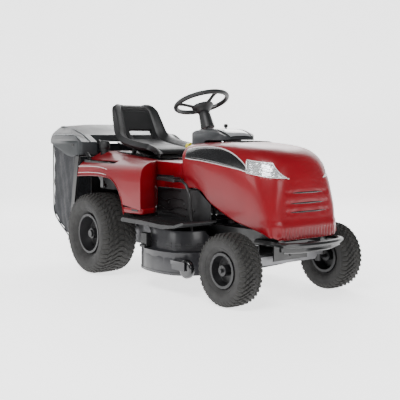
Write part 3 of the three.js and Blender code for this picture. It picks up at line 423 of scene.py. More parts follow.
def spline(points, steps):
    """Points along a smooth curve through the given ones."""
    result = []
    count = len(points)
    for i in range(count - 1):
        p0, p1 = points[max(i - 1, 0)], points[i]
        p2, p3 = points[i + 1], points[min(i + 2, count - 1)]
        for k in range(steps):
            t = k / steps
            a = p1 * 2
            b = (p2 - p0) * t
            c = (p0 * 2 - p1 * 5 + p2 * 4 - p3) * t * t
            d = (p1 * 3 - p0 - p2 * 3 + p3) * t * t * t
            result.append((a + b + c + d) / 2)
    result.append(points[-1])
    return result


# ---- deck ----
DECK_PLAN = ((-427, -200), (-307, -303), (-60, -329), (60, -329), (307, -303), (427, -200), (427, 60), (297, 186),
             (-297, 186), (-427, 60))
# The deck's wall from the skirt's bottom edge up, then down inside it: (height, distance in from the outline).
DECK_WALL = ((98, 3), (100, 0), (112, 0), (114, 2), (180, 2), (192, 5), (201, 12), (206, 24), (210, 40), (214, 46),
             (222, 48), (266, 52), (270, 56), (268, 62), (254, 66))
DECK_CORNER = 120
# Above this height the wall stands higher at the deck's sides.
DECK_SHOULDER = 222
# Two rows of slots (bottom, top) on the upper wall, spaced along it, on the deck's two sides only; each slot is a
# black block of painted shade.
SLOT_ROWS = ((230, 238), (244, 252))
SLOT_INSET = 48
SLOT_PITCH = 52
SLOT_FROM_MIDDLE = 240


def round_loop(points, radius, steps):
    """A closed outline with its corners rounded."""
    result = []
    count = len(points)
    for i, point in enumerate(points):
        here = Vector((*point, 0))
        before = Vector((*points[i - 1], 0)) - here
        after = Vector((*points[(i + 1) % count], 0)) - here
        start = here + before.normalized() * min(radius, before.length * 0.45)
        end = here + after.normalized() * min(radius, after.length * 0.45)
        for k in range(steps + 1):
            t = k / steps
            result.append(start * (1 - t) ** 2 + here * 2 * t * (1 - t) + end * t * t)
    return result


def inset_loop(loop, distance):
    """The outline moved inward; the loop runs anticlockwise seen from above."""
    moved = []
    count = len(loop)
    for i, point in enumerate(loop):
        along = (loop[(i + 1) % count] - loop[i - 1]).normalized()
        moved.append(point + Vector((-along.y, along.x, 0)) * distance)
    return moved


def deck_place(point, height):
    """A place on the deck's wall; the wall stands higher at the sides, clear of the frame's rails."""
    above = max(0, height - DECK_SHOULDER) * (1 + 0.85 * smooth_step(200, 240, abs(point.x)))
    return at(point.x, point.y, min(height, DECK_SHOULDER) + above)


def slot_places(path):
    """Each slot's place on the outline, with the wall's direction there."""
    travelled, last = 0.0, path[0]
    for i, point in enumerate(path):
        travelled += (point - last).length
        last = point
        if travelled >= SLOT_PITCH and abs(point.x) >= SLOT_FROM_MIDDLE:
            travelled = 0.0
            yield point, (path[(i + 1) % len(path)] - path[i - 1]).normalized()


def build_deck_slots():
    slots = bmesh.new()
    lips = bmesh.new()
    path = inset_loop(round_loop(DECK_PLAN, DECK_CORNER, 24), SLOT_INSET)
    for low, high in SLOT_ROWS:
        for point, along in slot_places(path):
            out = Vector((along.y, -along.x, 0))
            axes = (along, out, Vector((0, 0, 1)))
            centre = at(point.x, point.y, (low + high) / 2) + out * -0.0012
            # The black block is painted shade inside the slot.
            add_block(slots, centre, (0.030, 0.004, (high - low) * 0.62 * MM), axes)
            add_block(lips, centre + Vector((0, 0, -0.0045)) + out * 0.001, (0.033, 0.004, 0.0016), axes)
    from_bmesh("deck_slot_shade", slots, "black_plastic", "deck")
    from_bmesh("deck_slot_lips", lips, "deck", "deck")


def build_deck_hangers():
    hangers = bmesh.new()
    for _, sign in SIDES:
        add_block(hangers, at(sign * 392, 42, 250), (0.030, 0.052, 0.070))
        add_block(hangers, at(sign * 398, 42, 218), (0.040, 0.046, 0.016))
    piece = from_bmesh("deck_hangers", hangers, "black_plastic", "deck")
    soften_edges(piece, 0.004, 3)


def build_deck():
    loop = round_loop(DECK_PLAN, DECK_CORNER, 8)
    rows = [[deck_place(p, height) for p in inset_loop(loop, distance)] for height, distance in DECK_WALL]
    work = bmesh.new()
    add_grid(work, rows, False, True)
    from_bmesh("deck_wall", work, "deck", "deck", (), 42)
    refined("deck_shell", "deck", 2.0)
    build_deck_slots()
    build_deck_hangers()


# ---- steering wheel ----
WHEEL_MIDDLE = (0, 75, 960)
WHEEL_TILT = math.radians(21.5)
WHEEL_RADIUS = 142
WHEEL_GRIP = 12.2
SPOKE_TURNS = (0.28, math.pi - 0.28, -math.pi / 2)
# The hub from its lower end up: (distance along the axis, radius).
WHEEL_HUB = ((-62, 26), (-60, 33), (-50, 38), (-40, 48), (-30, 57), (-24, 60), (-19, 58), (-16, 50), (-14, 36),
             (-15, 34), (-14, 30), (-11, 20), (-10, 0))


def wheel_place(across, back, up):
    """A place given in the plane of the steering wheel and along its axis."""
    y = WHEEL_MIDDLE[1] + math.cos(WHEEL_TILT) * back + math.sin(WHEEL_TILT) * up
    z = WHEEL_MIDDLE[2] - math.sin(WHEEL_TILT) * back + math.cos(WHEEL_TILT) * up
    return at(across, y, z)


def spoke_rows(turn):
    """Rings of points from the hub out to the rim; the spoke rises and narrows on the way."""
    rows = []
    for k in range(13):
        t = k / 12
        reach = 30 + 108 * t
        drop = -34 * (1 - t) ** 1.5
        wide = 21 - 9 * math.sin(math.pi * min(1, t * 1.05)) - 4 * t
        deep = 8 - 2 * t
        row = []
        for a in full_turn(12):
            aside, lift = math.cos(a) * wide, math.sin(a) * deep
            row.append(wheel_place(math.cos(turn) * reach - math.sin(turn) * aside,
                                   math.sin(turn) * reach + math.cos(turn) * aside, drop + lift))
        rows.append(row)
    return rows


def build_steering_wheel():
    work = bmesh.new()
    ring = [wheel_place(math.cos(t) * WHEEL_RADIUS, math.sin(t) * WHEEL_RADIUS, 0) for t in full_turn(96)]
    add_rod(work, ring, WHEEL_GRIP * MM, 16, True)
    for turn in SPOKE_TURNS:
        add_grid(work, spoke_rows(turn), False, True)
    axis = wheel_place(0, 0, 1) - wheel_place(0, 0, 0)
    add_turned(work, wheel_place(0, 0, 0), axis, [(h * MM, r * MM) for h, r in WHEEL_HUB], 48)
    from_bmesh("steering_wheel_rim", work, "black_plastic", "steering_wheel", ("steering_wheel",), 50)


# ---- fender ----
FENDER_LIP = ((402, 728, 548), (402, 560, 556), (402, 400, 552), (402, 335, 532), (402, 285, 486), (402, 252, 420),
              (402, 236, 362))
# Pale lines along the fender's outer face, painted highlights: points (x, y, z).
FENDER_HIGHLIGHT_LINES = (((402, 716, 603), (402, 600, 607), (402, 480, 606), (402, 400, 596)),
                ((402, 716, 566), (402, 600, 572), (402, 480, 572), (402, 412, 566)))


def side_line(work, sign, path, radius):
    """A fine raised line on the outer face of the fender; the path is a list of (x, y, z)."""
    add_rod(work, spline([at(sign * x, y, z) for x, y, z in path], 8), radius * MM, 6)


def build_fender():
    refined("fender_body", "red", 5.0, 50)
    lines = bmesh.new()
    bright = bmesh.new()
    dark = bmesh.new()
    for _, sign in SIDES:
        side_line(lines, sign, FENDER_LIP, 3.2)
        # The pale side lines are painted highlights along the fender's sides.
        for highlight_path in FENDER_HIGHLIGHT_LINES:
            side_line(bright, sign, highlight_path, 1.3)
        # The black strips are painted shade in the fender's slots.
        add_block(dark, at(sign * 402, 130, 392), (0.003, 0.060, 0.010))
        add_block(dark, at(sign * 226, 96, 560), (0.008, 0.150, 0.026))
    from_bmesh("fender_lip", lines, "red", "chassis", (), 60)
    from_bmesh("fender_highlight_lines", bright, "bright", "chassis")
    slots = from_bmesh("fender_slot_shade", dark, "black_plastic", "chassis")
    soften_edges(slots, 0.0014, 2)


# ---- collector lid ----
# The lid's top: its height along the length as (y, z), and across the width as (x, z).
LID_ALONG = ((737, 742), (820, 782), (1040, 846), (1110, 848))
LID_ACROSS = ((0, 853), (80, 852), (300, 838), (363, 790), (385, 742))
# Places across the lid of its two ridges, drawn as pale lines that are painted highlights.
LID_RIDGES = (366, 306)
LID_RIDGE_STOPS = (738, 820, 930, 1040, 1098)


def build_lid():
    refined("collector_lid", "lid", 7.0, 50)
    ridges = bmesh.new()
    marks = bmesh.new()
    for _, sign in SIDES:
        for x in LID_RIDGES:
            path = [at(sign * x, y, lid_height(x, y) + 1.0) for y in LID_RIDGE_STOPS]
            add_rod(ridges, spline(path, 6), 0.0034, 8)
        add_block(marks, at(sign * 384, 812, 724), (0.006, 0.030, 0.012))
    # The ridge lines take the pale grey of a painted highlight.
    from_bmesh("lid_ridges", ridges, "lid_highlight", "collector")
    from_bmesh("lid_latches", marks, "black_plastic", "collector")


def lid_height(x, y):
    """The lid's top at a place, from its side and rear outlines."""
    return min(read_off(LID_ALONG, y), read_off(LID_ACROSS, x))


def read_off(points, value):
    """The height at a value, from straight lines between the points."""
    for (a, low), (b, high) in zip(points, points[1:]):
        if a <= value <= b:
            return low + (high - low) * (value - a) / (b - a)
    return points[-1][1]


# ---- hood ----
# Half of the hood, row by row from the rear edge to the lip; each row runs from the lower edge to the middle.
HOOD_CAGE = [
    [(-226, -62, 512), (-232, -62, 585), (-234, -62, 648), (-228, -62, 692), (-190, -62, 727), (-100, -62, 742),
     (0, -62, 745)],
    [(-228, -189, 512), (-235, -178, 595), (-237, -168, 655), (-226, -165, 708), (-186, -165, 737),
     (-100, -165, 747), (0, -165, 750)],
    [(-229, -289, 446), (-237, -280, 550), (-238, -272, 650), (-219, -268, 716), (-176, -265, 741),
     (-95, -263, 749), (0, -262, 751)],
    [(-229, -447, 382), (-238, -425, 510), (-238, -400, 630), (-213, -390, 708), (-170, -388, 736),
     (-90, -388, 746), (0, -388, 748)],
    [(-228, -540, 360), (-237, -520, 470), (-236, -500, 600), (-208, -500, 690), (-165, -508, 722),
     (-90, -514, 735), (0, -516, 738)],
    [(-226, -616, 344), (-234, -600, 450), (-232, -582, 570), (-206, -574, 662), (-160, -590, 702),
     (-88, -604, 716), (0, -610, 718)],
    [(-223, -664, 332), (-229, -648, 430), (-224, -630, 540), (-194, -636, 626), (-146, -658, 664),
     (-80, -672, 680), (0, -676, 684)],
    [(-217, -696, 320), (-220, -680, 416), (-210, -670, 506), (-176, -684, 572), (-130, -696, 604),
     (-72, -703, 618), (0, -706, 622)],
    [(-208, -700, 320), (-207, -698, 398), (-194, -700, 464), (-160, -708, 510), (-118, -713, 534),
     (-66, -716, 548), (0, -718, 552)],
    [(-199, -706, 316), (-194, -710, 368), (-178, -716, 408), (-146, -719, 434), (-108, -721, 448),
     (-60, -723, 458), (0, -724, 462)],
    [(-189, -712, 312), (-175, -720, 326), (-158, -727, 338), (-130, -728, 348), (-98, -729, 354),
     (-54, -731, 358), (0, -731, 360)],
    [(-178, -714, 309), (-162, -721, 308), (-148, -728, 306), (-120, -729, 306), (-88, -730, 306),
     (-48, -730, 306), (0, -730, 306)],
]
GROOVES = ((565, 1.2, 2.5), (518, 4.0, 4.5), (470, 4.0, 4.5), (430, 4.0, 4.5))
LAMP_WINDOW = ((-530, 669), (-545, 609), (-706, 584), (-651, 654))
LAMP_INNER = 92
HOOD_WALL = 2.5
LENS_LIFT, REFLECTOR_LIFT = 0.2, -16
HOOD_MOUTH = ((-128, 128), (-258, 0))
VENT = ((-111, 111), (-371, -251))
LEAF = ((-86, 706, 668), (-130, 716, 664), (-200, 722, 660), (-280, 722, 652), (-360, 713, 643),
        (-430, 694, 634), (-490, 666, 626), (-530, 640, 618), (-548, 622, 616))


def smooth_step(low, high, value):
    t = max(0.0, min(1.0, (value - low) / (high - low)))
    return t * t * (3 - 2 * t)


def hood_relief(place):
    """How far the skin stands off the plain form at a place on it, in millimetres."""
    x, y, z = place
    relief = 0.0
    for height, depth, width in GROOVES:
        reach = smooth_step(150, 128, abs(x)) * smooth_step(-640, -690, y)
        relief -= depth * reach * math.exp(-((z - height) / width) ** 2)
    flare = smooth_step(394, 372, z) * smooth_step(-590, -690, y)
    ribs = smooth_step(292, 300, z) * smooth_step(358, 346, z) * smooth_step(-650, -712, y)
    wave = 0.5 + 0.5 * math.cos(2 * math.pi * x / 21)
    crease = math.exp(-((abs(x) - 182) / 10) ** 2) * math.exp(-((z - 318) / 14) ** 2)
    return relief + 5 * flare - 3.5 * ribs * wave * (abs(x) < 168) + 3 * crease * flare


def dense_rows(cage, across, along):
    """Fill a half cage out to both sides and thread smooth curves through it both ways."""
    full = []
    for row in cage:
        half = [Vector(point) for point in row]
        other = [Vector((-point.x, point.y, point.z)) for point in reversed(half[:-1])]
        full.append(spline(half + other, across))
    columns = [spline(list(column), along) for column in zip(*full)]
    return [list(row) for row in zip(*columns)]


def hood_rows():
    rows = dense_rows(HOOD_CAGE, 9, 9)
    result = []
    for i, row in enumerate(rows):
        line = []
        for j, point in enumerate(row):
            along = rows[min(i + 1, len(rows) - 1)][j] - rows[max(i - 1, 0)][j]
            across = row[min(j + 1, len(row) - 1)] - row[max(j - 1, 0)]
            normal = along.cross(across)
            normal = normal.normalized() if normal.length > 0 else Vector((0, -1, 0))
            if normal.dot(point - Vector((0, -300, 450))) < 0:
                normal = -normal
            line.append(point + normal * hood_relief(point))
        result.append(line)
    return result


def in_window(point, window, inner):
    """Whether a place on the hood is inside a lamp's opening, seen from the side."""
    if abs(point.x) < inner:
        return False
    sides = []
    for (y0, z0), (y1, z1) in zip(window, window[1:] + window[:1]):
        sides.append((y1 - y0) * (point.z - z0) - (z1 - z0) * (point.y - y0) > 0)
    return all(sides) or not any(sides)


def cut_lines(work, window, inner):
    """Add edges along the window's outline so that the opening has clean sides."""
    planes = [(Vector((sign * inner, 0, 0)), Vector((1, 0, 0))) for sign in (-1, 1)]
    for (y0, z0), (y1, z1) in zip(window, window[1:] + window[:1]):
        planes.append((Vector((0, y0, z0)), Vector((0, z1 - z0, y0 - y1)).normalized()))
    for place, normal in planes:
        near = [f for f in work.faces if f.calc_center_median().y < -480 and f.calc_center_median().z > 560]
        edges = list({e for f in near for e in f.edges})
        verts = list({v for f in near for v in f.verts})
        bmesh.ops.bisect_plane(work, geom=near + edges + verts, dist=0.01, plane_co=place, plane_no=normal)


def to_frame(work):
    for vert in work.verts:
        vert.co = at(*vert.co)


def hood_skin():
    """The hood's skin with the lamp openings and the mouth for the console, in millimetres."""
    work = bmesh.new()
    add_grid(work, hood_rows())
    cut_lines(work, LAMP_WINDOW, LAMP_INNER)
    (x0, x1), (y0, y1) = HOOD_MOUTH
    mouth, lamps = [], []
    for face in work.faces:
        centre = face.calc_center_median()
        if x0 < centre.x < x1 and y0 < centre.y < y1:
            mouth.append(face)
        elif in_window(centre, LAMP_WINDOW, LAMP_INNER):
            lamps.append(face)
    return work, mouth, lamps


def lamp_part(lift):
    """A copy of the hood's skin inside the lamp openings, moved out or in by lift."""
    work, _, lamps = hood_skin()
    keep = set(lamps)
    bmesh.ops.delete(work, geom=[f for f in work.faces if f not in keep], context="FACES")
    for vert in work.verts:
        sign = 1 if vert.co.x > 0 else -1
        vert.co = vert.co + Vector((sign * 0.75, -0.6, 0.28)).normalized() * lift
    to_frame(work)
    return work


def build_hood():
    work, mouth, lamps = hood_skin()
    bmesh.ops.delete(work, geom=mouth + lamps, context="FACES")
    to_frame(work)
    shell = from_bmesh("hood_shell_skin", work, "red", "hood", ("hood_shell",), 60)
    thicken(shell, HOOD_WALL, -1)
    from_bmesh("lamp_lenses", lamp_part(LENS_LIFT), "lens", "hood", both("headlamp"), 60)
    from_bmesh("lamp_reflectors", lamp_part(REFLECTOR_LIFT), "reflector", "hood", (), 60)


# ---- pieces laid on the hood's skin ----
def skin_tree():
    """The hood's outer skin as a search tree in frame metres."""
    work = bmesh.new()
    add_grid(work, hood_rows())
    to_frame(work)
    tree = BVHTree.FromBMesh(work)
    work.free()
    return tree


def on_skin(tree, sign, y, z, lift):
    """The place on the hood's side at a length and height, lifted off the skin."""
    start = at(sign * 400, y, z)
    place, normal, _, _ = tree.ray_cast(start, Vector((-sign, 0, 0)))
    if place is None:
        place, normal, _, _ = tree.find_nearest(at(sign * 200, y, z))
    if normal.x * sign < 0:
        normal = -normal
    return place + normal * lift * MM


def side_band(tree, name, material, lower, upper, lift, thick):
    """A thin plate between two lines along both of the hood's sides; each line is a list of (y, z)."""
    work = bmesh.new()
    for _, sign in SIDES:
        low = spline([Vector((0, y, z)) for y, z in lower], 6)
        high = spline([Vector((0, y, z)) for y, z in upper], 6)
        rows = []
        for a, b in zip(low, high):
            steps = [a.lerp(b, k / 6) for k in range(7)]
            rows.append([on_skin(tree, sign, p.y, p.z, lift) for p in steps])
        add_grid(work, rows)
    plate = from_bmesh(name, work, material, "hood", (), 50)
    thicken(plate, thick, 0)


def build_side_inserts():
    tree = skin_tree()
    top = [(y, high) for y, high, _ in LEAF]
    bottom = [(y, low) for y, _, low in LEAF]
    side_band(tree, "side_inserts", "gloss_black", bottom, top, 0.8, 1.0)
    # The pale strips along the top and bottom of the black inserts are painted highlights on their edges.
    side_band(tree, "insert_borders_top", "bright", top, [(y, z + 5) for y, z in top], 1.2, 1.2)
    side_band(tree, "insert_borders_bottom", "bright", [(y, z - 4) for y, z in bottom], bottom, 1.2, 1.2)
    frames = bmesh.new()
    corners = list(LAMP_WINDOW) + [LAMP_WINDOW[0]]
    for _, sign in SIDES:
        path = []
        for (y0, z0), (y1, z1) in zip(corners, corners[1:]):
            for k in range(8):
                t = k / 8
                path.append(lamp_edge(tree, sign, y0 + (y1 - y0) * t, z0 + (z1 - z0) * t))
        add_rod(frames, path, 0.0018, 6, True)
    from_bmesh("lamp_frames", frames, "bright", "hood")


def lamp_edge(tree, sign, y, z):
    """A point on the edge of a lamp's opening, no nearer the middle than its inner side."""
    place, _, _, _ = tree.ray_cast(at(sign * 400, y, z), Vector((-sign, 0, 0)))
    if place is None or abs(place.x) < LAMP_INNER * MM:
        place, _, _, _ = tree.ray_cast(at(sign * LAMP_INNER, -1200, z), Vector((0, 1, 0)))
    return place


# ---- fender skirt and footwell panels ----
SKIRT_PLAN = ((401, 240), (401, 200), (401, 150), (401, 105), (397, 84), (384, 75), (360, 80), (330, 88), (300, 97),
              (262, 140), (233, 172))
SKIRT_HEIGHTS = (373.5, 380, 390, 402)
SKIRT_WALL = 4


def build_skirt():
    """The fender's lower edge, which comes down to the footboards."""
    work = bmesh.new()
    for _, sign in SIDES:
        path = spline([Vector((sign * x, y, 0)) for x, y in SKIRT_PLAN], 5)
        rows = [[at(p.x, p.y, height) for p in path] for height in SKIRT_HEIGHTS]
        add_grid(work, rows)
    piece = from_bmesh("fender_skirt", work, "red", "chassis", (), 60)
    thicken(piece, SKIRT_WALL, -1)


FOOTWELL_LINES = (((150, 486), (60, 496), (-40, 494)), ((150, 452), (96, 438), (20, 452), (-60, 448)),
                  ((140, 410), (70, 392), (-20, 408), (-90, 402)), ((128, 372), (40, 378), (-80, 366)))
FOOTWELL_STUDS = ((70, 430), (-70, 430), (-150, 400))
STUD_PROFILE = ((0, 0.008), (0.003, 0.008), (0.005, 0.005))
GRIP_COUNT, GRIP_PITCH = 15, 0.021


def build_footwell():
    refined("footwell_cover", "black_plastic", 4.0, 50)
    ribs = bmesh.new()
    for _, sign in SIDES:
        for line in FOOTWELL_LINES:
            add_rod(ribs, spline([at(sign * 228.6, y, z) for y, z in line], 8), 0.0036, 8)
        for y, z in FOOTWELL_STUDS:
            add_turned(ribs, at(sign * 228, y, z), Vector((sign, 0, 0)), STUD_PROFILE, 14)
    from_bmesh("footwell_ribs", ribs, "frame_black", "chassis")
    build_footboards()


def build_footboards():
    for node in both("footboard"):
        refined(node, "black_plastic", 3.0)
        low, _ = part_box(node)
        outer = 1 if low.x > 0 else -1
        grips = bmesh.new()
        for k in range(GRIP_COUNT):
            y = low.y + 0.070 + k * GRIP_PITCH
            add_block(grips, Vector((outer * 0.338, y, 0.3535)), (0.150, 0.006, 0.004))
        piece = from_bmesh(node + "_grips", grips, "black_plastic", "chassis")
        soften_edges(piece, 0.0012, 2)


def build_front_axle():
    """The axle and knuckles keep their tight bearing faces, so their edges are not rounded."""
    refined("front_axle_beam", "cast", 0)
    for side, _ in SIDES:
        refined(f"steering_knuckle_{side}", "rim_black", 0)


# ---- seat ----
# The middle line of the seat from its front lip over the base and up the back: (y, z, half width).
SEAT_PATH = ((318, 676, 138), (322, 694, 160), (346, 709, 182), (410, 718, 192), (480, 728, 194), (560, 742, 194),
             (618, 760, 192), (656, 792, 188), (680, 838, 182), (700, 885, 176), (718, 926, 168), (732, 948, 157),
             (746, 960, 140), (762, 964, 114), (776, 956, 84))
SEAT_WINDOW = (80, 760, 818)
SEAT_THICK = 24


def seat_relief(across, along):
    """How far the seat's face stands off its middle line: side bolsters, a seam each side and cross channels."""
    edge = abs(across)
    height = 24 - 17 * smooth_step(0.52, 0.80, along)
    relief = height * smooth_step(0.55, 0.90, edge) - (height + 3) * smooth_step(0.90, 1.0, edge)
    seam = 5.0 * math.exp(-((edge - 0.60) / 0.028) ** 2)
    channels = 0.0
    for place, reach in ((0.16, 0.55), (0.30, 0.55), (0.86, 0.50), (0.76, 0.56), (0.71, 0.56)):
        bend = place + 0.02 * (1 - (across / 0.6) ** 2) * (1 if place > 0.5 else -1)
        channels += 4.0 * math.exp(-((along - bend) / 0.007) ** 2) * smooth_step(reach + 0.04, reach - 0.02, edge)
    return relief - seam * smooth_step(0.04, 0.10, along) * smooth_step(0.97, 0.91, along) - channels


def build_seat():
    line = spline([Vector(point) for point in SEAT_PATH], 9)
    last = len(line) - 1
    columns = [k / 32 - 1 for k in range(65)]
    rows = []
    for i, (y, z, half) in enumerate(line):
        ahead, behind = line[min(i + 1, last)], line[max(i - 1, 0)]
        out = Vector((0, behind[1] - ahead[1], ahead[0] - behind[0])).normalized()
        rows.append([Vector((u * half, y, z)) + out * seat_relief(u, i / last) for u in columns])
    work = bmesh.new()
    add_grid(work, rows)
    half_window, low, high = SEAT_WINDOW
    hole = [f for f in work.faces if abs(f.calc_center_median().x) < half_window
            and low < f.calc_center_median().z < high and f.calc_center_median().y > 590]
    bmesh.ops.delete(work, geom=hole, context="FACES")
    to_frame(work)
    seat = from_bmesh("seat_pad", work, "seat", "seat", ("seat_cushion",), 70)
    thicken(seat, SEAT_THICK, -1)
    soften_edges(seat, 0.005, 3, 50)


# ---- grass collector ----
# The bag's side outline as pairs of (front edge, rear edge) places, from the top down: (y, z).
BAG_EDGES = (((746, 650), (1096, 728)), ((762, 580), (1098, 640)), ((784, 490), (1100, 530)),
             ((806, 400), (1102, 410)), ((826, 310), (1098, 310)), ((844, 235), (1040, 250)), ((856, 185), (962, 202)),
             ((866, 160), (896, 160)))
BAG_SIDE_X = 372
BAG_CLOTH = 1.6
# Beyond this distance from the middle the bag's folds stand out sideways, and inside it they stand out rearward.
BAG_CORNER_X = 345


def bag_crease(place):
    """Loose upright folds and small puckers in the mesh, in millimetres."""
    wide = 4.0 * math.sin(place.y / 27 + place.z / 160) * math.sin(place.z / 95 + 0.7)
    fine = 1.8 * math.sin(place.y / 9.5 - place.z / 40) + 1.4 * math.sin(place.z / 14 + place.y / 31)
    return wide + fine


def bag_row(front, rear):
    """Points round the bag at one level: along one side, across the rear and back along the other side."""
    (y0, z0), (y1, z1) = front, rear
    half = []
    for k in range(17):
        t = k / 16
        inward = 10 * t * t
        half.append(Vector((-BAG_SIDE_X + inward, y0 + (y1 - y0) * t * 0.985, z0 + (z1 - z0) * t)))
    corner = Vector((-BAG_SIDE_X + 26, y1, z1))
    across = [Vector((-330 + 660 * k / 24, y1 + 4, z1)) for k in range(25)]
    other = [Vector((-p.x, p.y, p.z)) for p in reversed(half + [corner])]
    return half + [corner] + across + other


def creased_row(row, down):
    """One level of the bag with its folds, which die away at the sewn edges; down runs from 0 at the top to 1."""
    line = []
    for j, point in enumerate(row):
        hold = smooth_step(0, 0.08, down) * smooth_step(1, 0.92, down)
        hold *= smooth_step(0, 3, j) * smooth_step(len(row) - 1, len(row) - 4, j)
        at_side = abs(point.x) > BAG_CORNER_X
        outward = Vector((1 if point.x > 0 else -1, 0, 0)) if at_side else Vector((0, 1, 0))
        flat = point if at_side else Vector((0, point.x, point.z))
        line.append(point + outward * (bag_crease(flat) - 5) * hold)
    return line


def build_bag():
    rows = [bag_row(front, rear) for front, rear in BAG_EDGES]
    columns = [spline(list(column), 10) for column in zip(*rows)]
    rows = [list(row) for row in zip(*columns)]
    last = len(rows) - 1
    work = bmesh.new()
    add_grid(work, [creased_row(row, i / last) for i, row in enumerate(rows)])
    to_frame(work)
    bag = from_bmesh("bag_fabric", work, "fabric", "collector", ("collector_bag",), 80)
    thicken(bag, BAG_CLOTH, 0)
    build_piping()


def build_piping():
    bindings = bmesh.new()
    for side in (-1, 1):
        edge = [at(side * (BAG_SIDE_X + 2), y, z) for (y, z), _ in BAG_EDGES]
        add_rod(bindings, spline(edge, 6), 0.006, 8)
        rear = [at(side * (BAG_SIDE_X - 8), y - 2, z) for _, (y, z) in BAG_EDGES]
        add_rod(bindings, spline(rear, 6), 0.004, 8)
    from_bmesh("bag_piping", bindings, "black_plastic", "collector")


# ---- hood vent, painted sheen on the console and painted shade in the nose's grooves ----
def down_on(tree, x, y, lift):
    """The place on the hood's top above x, y."""
    place, _, _, _ = tree.ray_cast(at(x, y, 1200), Vector((0, 0, -1)))
    return place + Vector((0, 0, lift * MM))


def front_on(tree, x, z, lift):
    """The place on the hood's nose at x, z."""
    place, _, _, _ = tree.ray_cast(at(x, -1400, z), Vector((0, 1, 0)))
    return place + Vector((0, -lift * MM, 0))


def build_vent():
    tree = skin_tree()
    (x0, x1), (y0, y1) = VENT
    panel = bmesh.new()
    rows = []
    for i in range(9):
        y = y0 + (y1 - y0) * i / 8
        taper = 1 - 0.10 * (1 - i / 8)
        rows.append([down_on(tree, x * taper, y, 0.8) for x in [x0 + (x1 - x0) * k / 14 for k in range(15)]])
    add_grid(panel, rows)
    plate = from_bmesh("vent_panel", panel, "black_plastic", "hood", ("hood_vent",), 60)
    thicken(plate, 2.0, 0)
    slats = bmesh.new()
    for i in range(10):
        y = y0 + 9 + (y1 - y0 - 18) * i / 9
        add_rod(slats, [down_on(tree, x0 * 0.86 + (x1 - x0) * 0.86 * k / 12, y, 1.8) for k in range(13)], 0.0022, 6)
    from_bmesh("vent_slats", slats, "frame_black", "hood")


# The painted shade in each of the nose's grooves, a dark strip: (height, half its length).
GROOVE_SHADE_LINES = ((519, 104), (471, 112), (431, 118))


def build_groove_shade():
    """Thin dark strips of painted shade along the nose's grooves, pointed at both ends."""
    tree = skin_tree()
    slots = bmesh.new()
    for height, half in GROOVE_SHADE_LINES:
        rows = []
        for k in range(25):
            x = -half + 2 * half * k / 24
            thin = 3.4 * (1 - abs(2 * k / 24 - 1) ** 4) + 0.3
            rows.append([front_on(tree, x, height + thin, 0.4), front_on(tree, x, height - thin, 0.4)])
        add_grid(slots, rows)
    piece = from_bmesh("nose_groove_shade", slots, "gloss_black", "hood", (), 60)
    thicken(piece, 1.2, 0)


# The painted sheen on the console's top, a pale grey plate, front to back: (y, height, half width).
CONSOLE_ARCH = ((-20, 813, 86), (-70, 815, 88), (-120, 814, 88), (-170, 810, 85), (-215, 795, 80), (-250, 777, 74))


def build_console():
    refined("dash_console", "console", 7.0, 50)
    panel = bmesh.new()
    rim = bmesh.new()
    rows, left, right = [], [], []
    for y, z, half in CONSOLE_ARCH:
        rows.append([at(x * half / 8, y, z + 1.5 - 5 * (x / 8) ** 4) for x in range(-8, 9)])
        left.append(rows[-1][0])
        right.append(rows[-1][-1])
    add_grid(panel, rows)
    # The pale grey plate is a painted sheen on the console's top.
    sheen_plate = from_bmesh("console_painted_sheen", panel, "panel", "chassis", (), 60)
    thicken(sheen_plate, 2.5, 0)
    for edge in (left, right):
        add_rod(rim, spline(edge, 6), 0.0036, 8)
    from_bmesh("console_struts", rim, "black_plastic", "chassis")


def build_pedals():
    """The CAD pedals with softened edges, and ribs across their pads."""
    for node in ("drive_pedal", "brake_pedal"):
        refined(node, "frame_black", 1.5)
        low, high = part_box(node)
        pads = bmesh.new()
        middle_x = (low.x + high.x) / 2
        outer = 1 if middle_x > 0 else -1
        for k in range(9):
            y = high.y - 0.020 - k * 0.0155
            add_block(pads, Vector((outer * 0.269, y, high.z - 0.001)), (0.050, 0.006, 0.005))
        ribs = from_bmesh(node + "_pad_ribs", pads, "black_plastic", body_of(node))
        soften_edges(ribs, 0.0015, 2)


# ---- tyres ----
# Half of a tyre's section, from the bead to the middle of the tread, as shares of the room there is between the
# bead and the outside (up) and of the half width (out).
TYRE_SECTION = ((0.0, 0.60), (0.04, 0.70), (0.10, 0.76), (0.22, 0.90), (0.40, 0.985), (0.55, 1.0), (0.70, 0.985),
                (0.82, 0.93), (0.90, 0.84), (0.945, 0.70), (0.965, 0.50), (0.972, 0.25), (0.975, 0.0))
LUG_HEIGHT = 7.0
# Columns of lugs as shares of the half width: (place, lean, length, shift round the tyre in lug pitches).
LUG_COLUMNS = ((0.0, 0.0, 0.30, 0.0), (0.30, 0.62, 0.30, 0.5), (-0.30, -0.62, 0.30, 0.5), (0.60, 0.75, 0.30, 0.0),
               (-0.60, -0.75, 0.30, 0.0), (0.86, 0.35, 0.26, 0.5), (-0.86, -0.35, 0.26, 0.5))
# Fine rings moulded on the sidewalls: (share of the way from bead to crown, radius).
SIDEWALL_RINGS = ((0.30, 1.2), (0.66, 1.0))


def tyre_profile(bead, outside, half_width):
    """Radius and sideways place of points right across the tyre."""
    room = outside - bead
    half = [Vector((bead + up * room, out * half_width, 0)) for up, out in TYRE_SECTION]
    smooth = spline(half, 3)
    return smooth + [Vector((p.x, -p.y, 0)) for p in reversed(smooth[:-1])]


def wheel_point(centre, radius, turn, aside):
    return centre + Vector((aside, radius * math.cos(turn), radius * math.sin(turn)))


def surface_radius(profile, aside):
    """The tread's radius at a sideways place, read off the profile's outer part."""
    outer = [p for p in profile if p.x > profile[len(profile) // 2].x * 0.80]
    best = min(outer, key=lambda p: abs(p.y - aside))
    return best.x


